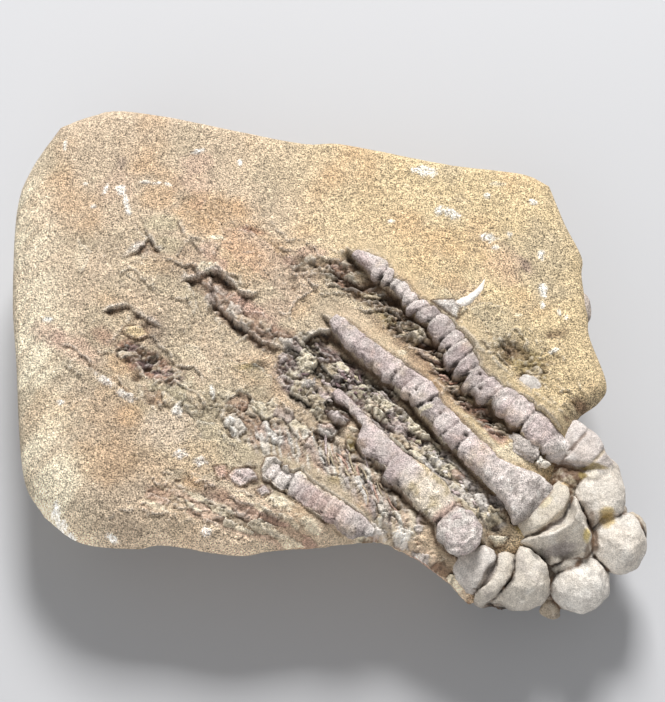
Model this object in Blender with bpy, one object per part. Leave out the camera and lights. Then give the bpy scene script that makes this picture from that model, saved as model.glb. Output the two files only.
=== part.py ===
"""Crinoid fossil lying face up on its slab of siltstone.

The slab rests on its flat back. Four arms of the crown lie half sunk in its face and run down to the
cup, whose swollen plates hang over the slab's near right edge. A columnal on the rim, a round ossicle
in a pit and a curved spine are loose pieces of the same sea floor.

Sizes in this file are millimetres; MM turns them into Blender's metres. +X is right, +Y is away and
+Z is up, and the origin is on the slab's back, under the middle of the object.
"""

import math

import bmesh
import bpy
import numpy as np
from mathutils import Euler, Matrix, Vector

MM = 0.001

# Driving dimensions
FACE_HEIGHT = 22.0  # the slab's face above its back
GAP = 0.3  # clearance between a fossil piece and the rock or the piece it touches
ARM_PROUD = 1.0  # how far an arm's axis lies above the face, at its thick end
CUT_MARGIN = 0.05  # added to GAP where a smooth cutter stands for a lumpy piece

# The slab's rim seen from above, as four sides that meet at its four corners
FAR_SIDE = [(-46.8, 42.8), (-41.5, 45.0), (-35.3, 45.7), (-21.7, 42.3), (-4.0, 38.2), (4.1, 37.9),
            (22.6, 33.8), (35.0, 32.0), (39.7, 29.5)]
RIGHT_SIDE = [(39.7, 29.5), (42.1, 21.8), (44.5, 15.8), (44.3, 12.0), (44.9, 4.6), (45.0, 0.8),
              (47.3, -7.4), (46.0, -10.8), (41.8, -14.2), (40.5, -20.0), (38.5, -26.5), (34.5, -33.0),
              (30.0, -39.0), (24.0, -43.0)]
NEAR_SIDE = [(-45.3, -29.0), (-39.2, -33.5), (-30.1, -35.1), (-25.3, -34.7), (-14.0, -36.5),
             (-8.2, -35.8), (3.9, -34.6), (9.6, -34.2), (14.5, -36.4), (19.6, -39.8), (24.0, -43.0)]
LEFT_SIDE = [(-46.8, 42.8), (-51.6, 33.8), (-53.3, 26.0), (-52.8, 9.3), (-51.2, -3.8), (-49.1, -22.0),
             (-45.3, -29.0)]

# The outline of its flat back, side by side with the rim's. It is tucked in under the rim
BACK_FAR = [(-43.5, 39.6), (-22.0, 39.0), (4.0, 35.2), (22.6, 31.4), (35.5, 28.2)]
BACK_RIGHT = [(35.5, 28.2), (40.5, 15.0), (41.4, 2.0), (39.5, -8.0), (35.5, -15.5), (31.0, -24.0), (22.0, -31.0)]
BACK_NEAR = [(-41.5, -19.5), (-28.0, -24.8), (-8.2, -25.6), (9.6, -25.2), (22.0, -31.0)]
BACK_LEFT = [(-43.5, 39.6), (-48.2, 30.5), (-48.8, 9.3), (-46.8, -8.0), (-41.5, -19.5)]

# Grid of the slab's face, and rows down its sides
GRID_ACROSS = 34
GRID_DEEP = 28
SIDE_ROWS = 4

# How wide the rim is rounded, and how lumpy the broken sides are
ROUND_NARROW, ROUND_LEFT, ROUND_NEAR = 2.2, 3.6, 3.2
SIDE_LUMPS = 0.5

# Relief of the face: (path, depth, width). A scarp falls on the left of its path's direction and
# climbs back over its width; a trough is as deep all across its half width.
SCARPS = [
    ([(-11.0, 9.0), (-14.4, 9.9), (-16.5, 12.3), (-18.4, 14.0), (-20.6, 13.3), (-22.5, 11.0)], 2.4, 7.0),
    ([(-23.3, 13.1), (-27.5, 16.7), (-29.4, 18.4), (-31.5, 16.0), (-33.8, 13.3)], 1.0, 5.0),
    ([(-28.6, 3.2), (-30.5, 4.7), (-32.8, 5.6), (-35.8, 5.2)], 1.8, 8.0),
    ([(38.4, -14.1), (35.4, -11.5), (31.9, -8.6), (29.3, -5.2), (26.0, -2.7)], -1.2, 2.5),
]
TROUGHS = [
    ([(1.0, 11.0), (8.2, 6.3), (14.0, 0.7), (19.7, -5.6), (24.5, -11.0), (29.2, -16.3)], 2.8, 2.6),
    ([(-16.0, 7.5), (-10.0, 2.5), (-4.3, -1.4), (4.8, -8.6), (14.5, -16.6), (24.0, -26.9)], 2.6, 3.0),
    ([(-2.0, -17.0), (6.0, -22.5), (14.0, -30.0)], 1.6, 2.6),
]
PITS = [  # centre, radius, depth
    ((-29.5, -1.5), 4.2, 1.4),
    ((31.4, -3.1), 2.6, 2.0),
    ((34.0, -8.2), 2.4, 1.2),
    ((42.3, -11.9), 2.0, 1.6),
    ((28.0, -39.5), 6.5, 6.5),  # the face falls away beside the near side of the cup
]
RIDGES = [  # matrix-covered arm by the near edge, and the bar of rock beside the long arm
    ([(-20.0, -24.4), (-12.2, -29.3), (-0.6, -33.4)], 1.4, 2.6),
    ([(3.0, 4.6), (9.8, -0.3), (18.8, -9.0), (26.5, -17.5)], 0.8, 1.4),
]

# Arms of the crown: (x, y, half width) from the thin end to the cup
ARM_1 = [(5.4, 15.4, 0.9), (9.4, 12.4, 1.8), (11.6, 9.9, 1.25), (15.2, 6.2, 1.5), (19.8, 1.1, 2.2),
         (24.4, -5.2, 2.4), (29.0, -11.3, 2.6), (34.6, -15.7, 3.1), (38.0, -19.5, 3.0), (40.5, -22.0, 2.4)]
ARM_2 = [(1.5, 2.9, 1.0), (6.6, -2.1, 1.8), (14.1, -8.2, 2.2), (18.6, -14.0, 2.5), (25.0, -21.7, 2.8),
         (28.6, -25.6, 3.5), (31.6, -28.2, 4.3), (33.4, -29.8, 4.5)]
ARM_3 = [(1.7, -10.1, 0.6), (6.4, -15.9, 1.5), (10.6, -20.0, 2.4), (15.4, -26.0, 3.2),
         (18.8, -29.4, 3.0), (20.3, -31.2, 2.9), (22.3, -33.6, 3.6), (24.0, -35.4, 3.2)]
ARM_4 = [(-8.9, -22.6, 1.4), (-6.4, -24.6, 2.3), (-0.6, -28.8, 2.6), (4.1, -31.5, 2.5),
         (8.6, -34.0, 2.0), (12.4, -36.0, 1.4)]
ARMS = {  # name: route, number of brachials, height of the axis above the face at the thin end
    "arm_1": (ARM_1, 17, -0.2),
    "arm_2": (ARM_2, 15, 0.2),
    "arm_3": (ARM_3, 10, -0.2),
    "arm_4": (ARM_4, 8, -0.6),
}
ARM_SIDES = 8
ARM_FLATNESS = 0.85  # height over width of an arm's section
JOINT_PINCH = 0.9  # an arm's girth at a joint, over its girth at the middle of a brachial
JOINT_SLANT = 10.0  # degrees that the wedge-shaped brachials tip their joints, one way and the other

# Pinnules: short side branches along the near side of arm 1
PINNULE_COUNT = 8
PINNULE_FIRST, PINNULE_LAST = 0.30, 0.68  # their stretch of the arm, as shares of its length
PINNULE_REACH = 3.6
PINNULE_RADIUS = 0.65
PINNULE_HEADING = (-0.93, -0.37)
PINNULE_DROP = 1.0  # below the arm's axis

# Cup plates: centre, radii, turn about Z in degrees
PLATES = {
    "radial_front": ((39.8, -32.2, 15.5), (6.6, 6.2, 5.6), 0),
    "radial_lip": ((37.3, -30.4, 19.6), (5.8, 2.2, 3.2), 45),
    "arm_sockets": ((39.6, -25.6, 14.6), (4.8, 4.6, 4.8), 0),
    "radial_right": ((45.4, -25.6, 15.8), (4.0, 5.4, 5.4), -8),
    "radial_left": ((33.4, -39.0, 14.5), (4.9, 5.6, 6.0), -20),
    "radial_left_wing": ((30.2, -41.6, 13.6), (3.8, 3.0, 4.8), 20),
    "brachial_crescent": ((27.7, -39.6, 16.4), (2.0, 5.4, 4.8), -27),
    "brachial_near": ((24.9, -37.9, 16.6), (3.4, 4.3, 4.8), -27),
    "basal_right": ((48.6, -33.0, 14.0), (4.6, 5.2, 5.0), 0),
    "basal_far": ((51.0, -30.6, 11.6), (2.6, 3.4, 3.6), 0),
    "basal_near": ((42.1, -39.6, 13.0), (4.8, 4.8, 4.9), 0),
    "shoulder": ((43.0, -18.8, 17.4), (4.8, 2.8, 3.8), -48),
    "shoulder_knob": ((44.0, -22.8, 19.0), (2.1, 1.7, 1.8), 0),
    "under_left": ((37.0, -37.2, 9.6), (5.8, 4.8, 5.4), 0),
    "under_right": ((47.0, -27.6, 9.6), (4.2, 4.8, 4.4), 0),
    "base": ((42.8, -34.6, 8.2), (5.2, 5.0, 5.4), 0),
    "stem_scar": ((45.4, -36.4, 5.0), (2.6, 2.6, 2.0), 0),
    "broken_edge": ((37.6, -43.2, 8.8), (2.2, 1.8, 2.2), 30),
}
PLATE_SEGMENTS, PLATE_RINGS = 10, 7

# Loose pieces
SPINE = [(21.8, 4.2, 0.75), (23.9, 6.3, 0.7), (26.4, 8.3, 0.5), (28.0, 10.6, 0.22)]
SPINE_BRACHIALS = 6
RIM_COLUMNAL = ((44.3, 6.9, 18.6), (1.5, 2.9, 2.4), 4)
PIT_OSSICLE = ((34.0, -8.2, 20.4), (1.9, 1.6, 1.3), -30)


def smoothstep(low, high, value):
    share = np.clip((value - low) / (high - low), 0.0, 1.0)
    return share * share * (3.0 - 2.0 * share)


def curve_through(points, count, closed_ends=True):
    """count rows spaced evenly along a Catmull-Rom curve through points; extra columns are carried along."""
    knots = np.asarray(points, float)
    padded = np.vstack([2 * knots[0] - knots[1], knots, 2 * knots[-1] - knots[-2]])
    fine = []
    for i in range(1, len(padded) - 2):
        a, b, c, d = padded[i - 1:i + 3]
        t = np.linspace(0.0, 1.0, 24, endpoint=False)[:, None]
        fine.append(0.5 * (2 * b + (c - a) * t + (2 * a - 5 * b + 4 * c - d) * t ** 2
                           + (3 * b - a - 3 * c + d) * t ** 3))
    fine = np.vstack(fine + [knots[-1:]])
    steps = np.linalg.norm(np.diff(fine[:, :2], axis=0), axis=1)
    along = np.concatenate([[0.0], np.cumsum(steps)])
    wanted = np.linspace(0.0, along[-1], count)
    return np.stack([np.interp(wanted, along, column) for column in fine.T], axis=1)


def along_path(x, y, path):
    """For each point: signed distance to the path, positive on its left, and the share of the path passed."""
    path = np.asarray(path, float)
    steps = np.linalg.norm(np.diff(path, axis=0), axis=1)
    starts = np.concatenate([[0.0], np.cumsum(steps)])
    best = np.full(x.shape, 1e9)
    side = np.ones(x.shape)
    share = np.zeros(x.shape)
    for i, length in enumerate(steps):
        ux, uy = (path[i + 1] - path[i]) / length
        rx, ry = x - path[i, 0], y - path[i, 1]
        t = np.clip(rx * ux + ry * uy, 0.0, length)
        distance = np.hypot(rx - t * ux, ry - t * uy)
        nearer = distance < best
        best = np.where(nearer, distance, best)
        side = np.where(nearer, np.where(ux * ry - uy * rx >= 0, 1.0, -1.0), side)
        share = np.where(nearer, (starts[i] + t) / starts[-1], share)
    return best * side, share


def ends_fade(share):
    return smoothstep(0.0, 0.15, share) * smoothstep(1.0, 0.85, share)


def relief(x, y):
    """Height of the face over its mean plane."""
    height = 0.5 * np.sin(0.055 * x + 0.6) * np.cos(0.06 * y) + 0.012 * x
    for path, depth, width in SCARPS:
        distance, share = along_path(x, y, path)
        low_side = smoothstep(-0.3, 0.5, distance) * np.exp(-np.maximum(distance, 0.0) / width)
        height = height - depth * ends_fade(share) * low_side
    for path, depth, half in TROUGHS:
        distance, share = along_path(x, y, path)
        height = height - depth * ends_fade(share) * smoothstep(1.5 * half, 0.5 * half, np.abs(distance))
    for path, rise, half in RIDGES:
        distance, share = along_path(x, y, path)
        height = height + rise * ends_fade(share) * np.exp(-(distance / half) ** 2)
    for (cx, cy), radius, depth in PITS:
        height = height - depth * np.exp(-((x - cx) ** 2 + (y - cy) ** 2) / radius ** 2)
    return height


def rounding_width(x, y):
    """How wide the rim is rounded: wide along the left and near sides, narrow on the far and right."""
    left = smoothstep(-20.0, -46.0, x)
    near = smoothstep(-5.0, -30.0, y)
    return ROUND_NARROW + ROUND_LEFT * left + ROUND_NEAR * near


def coons(far, near, left, right):
    """Grid of points inside four sides that share their corners, shaped (across, deep, 2)."""
    u = np.linspace(0.0, 1.0, len(far))[:, None, None]
    v = np.linspace(0.0, 1.0, len(left))[None, :, None]
    ruled_deep = (1 - v) * far[:, None] + v * near[:, None]
    ruled_across = (1 - u) * left[None] + u * right[None]
    corners = ((1 - u) * (1 - v) * far[0] + u * (1 - v) * far[-1]
               + (1 - u) * v * near[0] + u * v * near[-1])
    return ruled_deep + ruled_across - corners


def once_round(far, right, near, left):
    """One closed loop from four sides that share their corners, clockwise seen from above."""
    return np.concatenate([far[:-1], right[:-1], near[:0:-1], left[:0:-1]])


def four_sides(far, right, near, left):
    """The four sides as rows of evenly spaced points, as many as the face's grid needs."""
    return (curve_through(far, GRID_ACROSS + 1), curve_through(right, GRID_DEEP + 1),
            curve_through(near, GRID_ACROSS + 1), curve_through(left, GRID_DEEP + 1))


def slab_mesh():
    far, right, near, left = four_sides(FAR_SIDE, RIGHT_SIDE, NEAR_SIDE, LEFT_SIDE)
    grid = coons(far, near, left, right)
    index = np.arange(grid.shape[0] * grid.shape[1]).reshape(grid.shape[:2])
    loop = once_round(index[:, 0], index[-1, :], index[:, -1], index[0, :])
    flat = grid.reshape(-1, 2)
    x, y = flat.T
    rim = flat[loop]
    from_rim = np.abs(along_path(x, y, np.vstack([rim, rim[:1]]))[0])
    radius = rounding_width(x, y)
    inside = np.clip(1.0 - from_rim / radius, 0.0, 1.0)
    drop = radius * (1.0 - np.sqrt(1.0 - 0.97 * inside ** 2))
    top_z = FACE_HEIGHT + relief(x, y) * smoothstep(0.0, 2.5, from_rim) - drop
    points = [np.column_stack([x, y, top_z])]

    back = once_round(*four_sides(BACK_FAR, BACK_RIGHT, BACK_NEAR, BACK_LEFT))
    count = len(loop)
    angle = 2 * math.pi * np.arange(count) / count
    for row in range(1, SIDE_ROWS + 1):
        down = row / SIDE_ROWS
        lump = SIDE_LUMPS * (np.sin(9 * angle + 2.1 * row) + np.sin(23 * angle - 1.3 * row))
        tuck = (down ** 1.3 + 0.08 * lump * (row < SIDE_ROWS))[:, None]
        points.append(np.column_stack([rim + (back - rim) * tuck, top_z[loop] * (1 - down)]))
    verts = np.vstack(points)

    quads = np.stack([index[:-1, :-1], index[:-1, 1:], index[1:, 1:], index[1:, :-1]], axis=-1).reshape(-1, 4)
    faces = quads.tolist()
    rows = [loop] + [len(flat) + count * r + np.arange(count) for r in range(SIDE_ROWS)]
    for upper, lower in zip(rows[:-1], rows[1:]):
        around = np.column_stack([upper, np.roll(upper, -1), np.roll(lower, -1), lower])
        faces += around.tolist()
    faces.append(rows[-1].tolist())
    return verts, faces


def tube(centres, radii_wide, radii_high, sides, slant=None):
    """Closed tube with elliptic rings square to its run; slant tips each ring about the upright axis."""
    centres = np.asarray(centres, float)
    run = np.gradient(centres, axis=0)
    run /= np.linalg.norm(run, axis=1)[:, None]
    verts, faces = [], []
    for i, centre in enumerate(centres):
        forward = Vector(run[i])
        across = Vector((0, 0, 1)).cross(forward).normalized()
        up = forward.cross(across)
        tip = 0.0 if slant is None else math.tan(math.radians(slant[i]))
        for k in range(sides):
            angle = 2 * math.pi * (k + 0.5) / sides
            wide = radii_wide[i] * math.cos(angle)
            high = radii_high[i] * math.sin(angle)
            verts.append(Vector(centre) + across * wide + up * high + forward * wide * tip)
    for i in range(len(centres) - 1):
        for k in range(sides):
            n = (k + 1) % sides
            a, b = i * sides, (i + 1) * sides
            faces.append([a + k, a + n, b + n, b + k])
    faces.append(list(range(sides))[::-1])
    faces.append([(len(centres) - 1) * sides + k for k in range(sides)])
    return verts, faces


def arm_axis(route, thin_lift, count):
    """Centres and half widths along an arm; its axis climbs out of the rock towards the cup."""
    rows = curve_through(route, count)
    share = np.linspace(0.0, 1.0, count)
    z = FACE_HEIGHT + thin_lift + (ARM_PROUD - thin_lift) * share
    return np.column_stack([rows[:, :2], z]), rows[:, 2]


def arm_tube(route, brachials, thin_lift, grow=0.0):
    """A ring at each joint and at the middle of each brachial. Grown, it is the smooth cutter of its bed."""
    count = 2 * brachials + 1
    centres, wide = arm_axis(route, thin_lift, count)
    girth = np.ones(count)
    slant = None
    if grow == 0.0:
        girth[::2] = JOINT_PINCH
        slant = [0.0] + [JOINT_SLANT * (1 if (i // 2) % 2 else -1) * ((i + 1) % 2) for i in range(1, count - 1)]
        slant.append(0.0)
    girth[0] = girth[-1] = 0.72
    wide = wide * girth + grow
    high = wide * ARM_FLATNESS
    if grow:
        run_in, run_out = centres[0] - centres[1], centres[-1] - centres[-2]
        centres[0] += run_in / np.linalg.norm(run_in) * 2 * grow
        centres[-1] += run_out / np.linalg.norm(run_out) * 2 * grow
    return tube(centres, wide, high, ARM_SIDES, slant)


def add_object(name, verts, faces, material=None, helper=False):
    mesh = bpy.data.meshes.new(name)
    mesh.from_pydata([Vector(v) * MM for v in verts], [], faces)
    mesh.validate()
    shape = bmesh.new()
    shape.from_mesh(mesh)
    bmesh.ops.recalc_face_normals(shape, faces=shape.faces)
    shape.to_mesh(mesh)
    shape.free()
    made = bpy.data.objects.new(name, mesh)
    bpy.context.scene.collection.objects.link(made)
    if material:
        mesh.materials.append(material)
        mesh.shade_smooth()
        mesh.set_sharp_from_angle(angle=math.radians(50))
    if helper:
        made.hide_render = True
        made.display_type = "WIRE"
    return made


def ellipsoid(name, centre, radii, turn, grow=0.0, material=None, helper=False):
    shape = bmesh.new()
    bmesh.ops.create_uvsphere(shape, u_segments=PLATE_SEGMENTS, v_segments=PLATE_RINGS, radius=1.0)
    scale = Matrix.Diagonal([r + grow for r in radii] + [1.0])
    place = Matrix.Translation(Vector(centre)) @ Euler((0, 0, math.radians(turn))).to_matrix().to_4x4()
    bmesh.ops.transform(shape, matrix=place @ scale, verts=shape.verts)
    verts = [v.co.copy() for v in shape.verts]
    faces = [[v.index for v in f.verts] for f in shape.faces]
    shape.free()
    return add_object(name, verts, faces, material, helper)


def boolean(target, operation, others):
    """One Boolean with a collection of helper objects."""
    group = bpy.data.collections.new(f"{operation.lower()}_{target.name}")
    for other in others:
        group.objects.link(other)
    step = target.modifiers.new(operation.title(), "BOOLEAN")
    step.operation = operation
    step.operand_type = "COLLECTION"
    step.collection = group
    step.solver = "EXACT"


def rock_material(name, colour, roughness):
    material = bpy.data.materials.new(name)
    material.use_nodes = True
    surface = material.node_tree.nodes["Principled BSDF"]
    surface.inputs["Base Color"].default_value = (*colour, 1.0)
    surface.inputs["Roughness"].default_value = roughness
    surface.inputs["Metallic"].default_value = 0.0
    return material


def pinnules(route, thin_lift, grow=0.0):
    """Helper rods that a union grows out of arm 1. Grown, they are the cutters of their beds."""
    rods = []
    centres, wide = arm_axis(route, thin_lift, 200)
    heading = np.array([*PINNULE_HEADING, 0.0])
    for i in range(PINNULE_COUNT):
        share = PINNULE_FIRST + (PINNULE_LAST - PINNULE_FIRST) * i / (PINNULE_COUNT - 1)
        at = int(share * 199)
        root = centres[at] - np.array([0.0, 0.0, PINNULE_DROP])
        reach = wide[at] + PINNULE_REACH + 2 * grow
        line = [root + heading * reach * t for t in (0.15, 0.6, 1.0)]
        radius = np.array([1.0, 0.9, 0.5]) * PINNULE_RADIUS + 1.3 * grow
        rods.append(add_object(f"pinnule_{i}", *tube(line, radius, radius, 5), helper=True))
    return rods


def build_cup(material):
    """The plates grow together in one solid round the front radial."""
    centre, radii, turn = PLATES["radial_front"]
    cup = ellipsoid("cup", centre, radii, turn, material=material)
    others = [ellipsoid(f"plate_{name}", *row, helper=True)
              for name, row in PLATES.items() if name != "radial_front"]
    boolean(cup, "UNION", others)


def build_arms(material, cup_bed):
    for name, (route, brachials, thin_lift) in ARMS.items():
        arm = add_object(name, *arm_tube(route, brachials, thin_lift), material)
        if name == "arm_1":
            boolean(arm, "UNION", pinnules(route, thin_lift))
        boolean(arm, "DIFFERENCE", cup_bed)


def spine_tube(grow=0.0):
    rows = curve_through(SPINE, SPINE_BRACHIALS + 1)
    centres = np.column_stack([rows[:, :2], FACE_HEIGHT + 0.2 + relief(*rows[:, :2].T)])
    return tube(centres, rows[:, 2] + grow, rows[:, 2] + grow, 6)


def build_all():
    for leftover in list(bpy.data.objects):
        bpy.data.objects.remove(leftover)
    siltstone = rock_material("siltstone", (0.60, 0.50, 0.34), 0.9)
    calcite = rock_material("calcite", (0.46, 0.40, 0.37), 0.7)
    pale_calcite = rock_material("pale_calcite", (0.62, 0.59, 0.54), 0.65)
    chalk = rock_material("chalk", (0.80, 0.78, 0.72), 0.8)

    margin = GAP + CUT_MARGIN
    cup_bed = [ellipsoid(f"bed_{name}", *row, grow=margin, helper=True) for name, row in PLATES.items()]
    arm_beds = [add_object(f"bed_{name}", *arm_tube(*row, grow=margin), helper=True)
                for name, row in ARMS.items()]
    arm_beds += pinnules(ARM_1, ARMS["arm_1"][2], grow=margin)
    loose_beds = [
        ellipsoid("bed_rim_columnal", *RIM_COLUMNAL, grow=margin, helper=True),
        ellipsoid("bed_pit_ossicle", *PIT_OSSICLE, grow=margin, helper=True),
        add_object("bed_spine", *spine_tube(margin), helper=True),
    ]

    matrix = add_object("matrix", *slab_mesh(), siltstone)
    boolean(matrix, "DIFFERENCE", cup_bed + arm_beds + loose_beds)
    build_cup(pale_calcite)
    build_arms(calcite, cup_bed)
    ellipsoid("rim_columnal", *RIM_COLUMNAL, material=calcite)
    ellipsoid("pit_ossicle", *PIT_OSSICLE, material=chalk)
    add_object("spine", *spine_tube(), chalk)


build_all()
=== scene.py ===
"""Looks of a crinoid fossil lying in the face of a slab of siltstone.

Numbers about the object are millimetres in the part's own frame, and MM turns them into metres. The slab
lies on its back with its face up, +X is right and +Y is away.
"""
import math

import bpy
import numpy as np
import openvdb
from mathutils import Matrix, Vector


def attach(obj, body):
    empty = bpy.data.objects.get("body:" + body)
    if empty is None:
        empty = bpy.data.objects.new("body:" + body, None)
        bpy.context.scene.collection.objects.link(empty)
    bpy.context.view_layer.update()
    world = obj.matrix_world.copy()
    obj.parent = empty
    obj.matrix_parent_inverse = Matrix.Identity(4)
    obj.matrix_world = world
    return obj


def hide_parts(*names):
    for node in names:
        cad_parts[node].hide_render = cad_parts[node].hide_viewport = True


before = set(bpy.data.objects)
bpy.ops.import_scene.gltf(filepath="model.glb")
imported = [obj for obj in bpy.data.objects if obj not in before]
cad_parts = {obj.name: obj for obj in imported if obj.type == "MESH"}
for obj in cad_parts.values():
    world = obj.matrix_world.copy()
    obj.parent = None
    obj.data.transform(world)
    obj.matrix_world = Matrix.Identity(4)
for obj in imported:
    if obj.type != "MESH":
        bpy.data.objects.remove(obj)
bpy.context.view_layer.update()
MM = 0.001

# ---------------------------------------------------------------- camera
ELEVATION = math.radians(66.0)
CAMERA_DISTANCE = 0.300
TARGET = Vector((0.0019, -0.0016, 0.0200))
LENS = 92.0

# ---------------------------------------------------------------- the slab's outline, as in the part
FACE_HEIGHT = 22.0
FAR_SIDE = [(-46.8, 42.8), (-41.5, 45.0), (-35.3, 45.7), (-21.7, 42.3), (-4.0, 38.2), (4.1, 37.9),
            (22.6, 33.8), (35.0, 32.0), (39.7, 29.5)]
RIGHT_SIDE = [(39.7, 29.5), (42.1, 21.8), (44.5, 15.8), (44.3, 12.0), (44.9, 4.6), (45.0, 0.8),
              (47.3, -7.4), (46.0, -10.8), (41.8, -14.2), (40.5, -20.0), (38.5, -26.5), (34.5, -33.0),
              (30.0, -39.0), (24.0, -43.0)]
NEAR_SIDE = [(-45.3, -29.0), (-39.2, -33.5), (-30.1, -35.1), (-25.3, -34.7), (-14.0, -36.5),
             (-8.2, -35.8), (3.9, -34.6), (9.6, -34.2), (14.5, -36.4), (19.6, -39.8), (24.0, -43.0)]
LEFT_SIDE = [(-46.8, 42.8), (-51.6, 33.8), (-53.3, 26.0), (-52.8, 9.3), (-51.2, -3.8), (-49.1, -22.0),
             (-45.3, -29.0)]
BACK_FAR = [(-43.5, 39.6), (-22.0, 39.0), (4.0, 35.2), (22.6, 31.4), (35.5, 28.2)]
BACK_RIGHT = [(35.5, 28.2), (40.5, 15.0), (41.4, 2.0), (39.5, -8.0), (35.5, -15.5), (31.0, -24.0),
              (22.0, -31.0)]
BACK_NEAR = [(-41.5, -19.5), (-28.0, -24.8), (-8.2, -25.6), (9.6, -25.2), (22.0, -31.0)]
BACK_LEFT = [(-43.5, 39.6), (-48.2, 30.5), (-48.8, 9.3), (-46.8, -8.0), (-41.5, -19.5)]
ROUND_NARROW, ROUND_LEFT, ROUND_NEAR = 2.2, 3.6, 3.2

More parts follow.
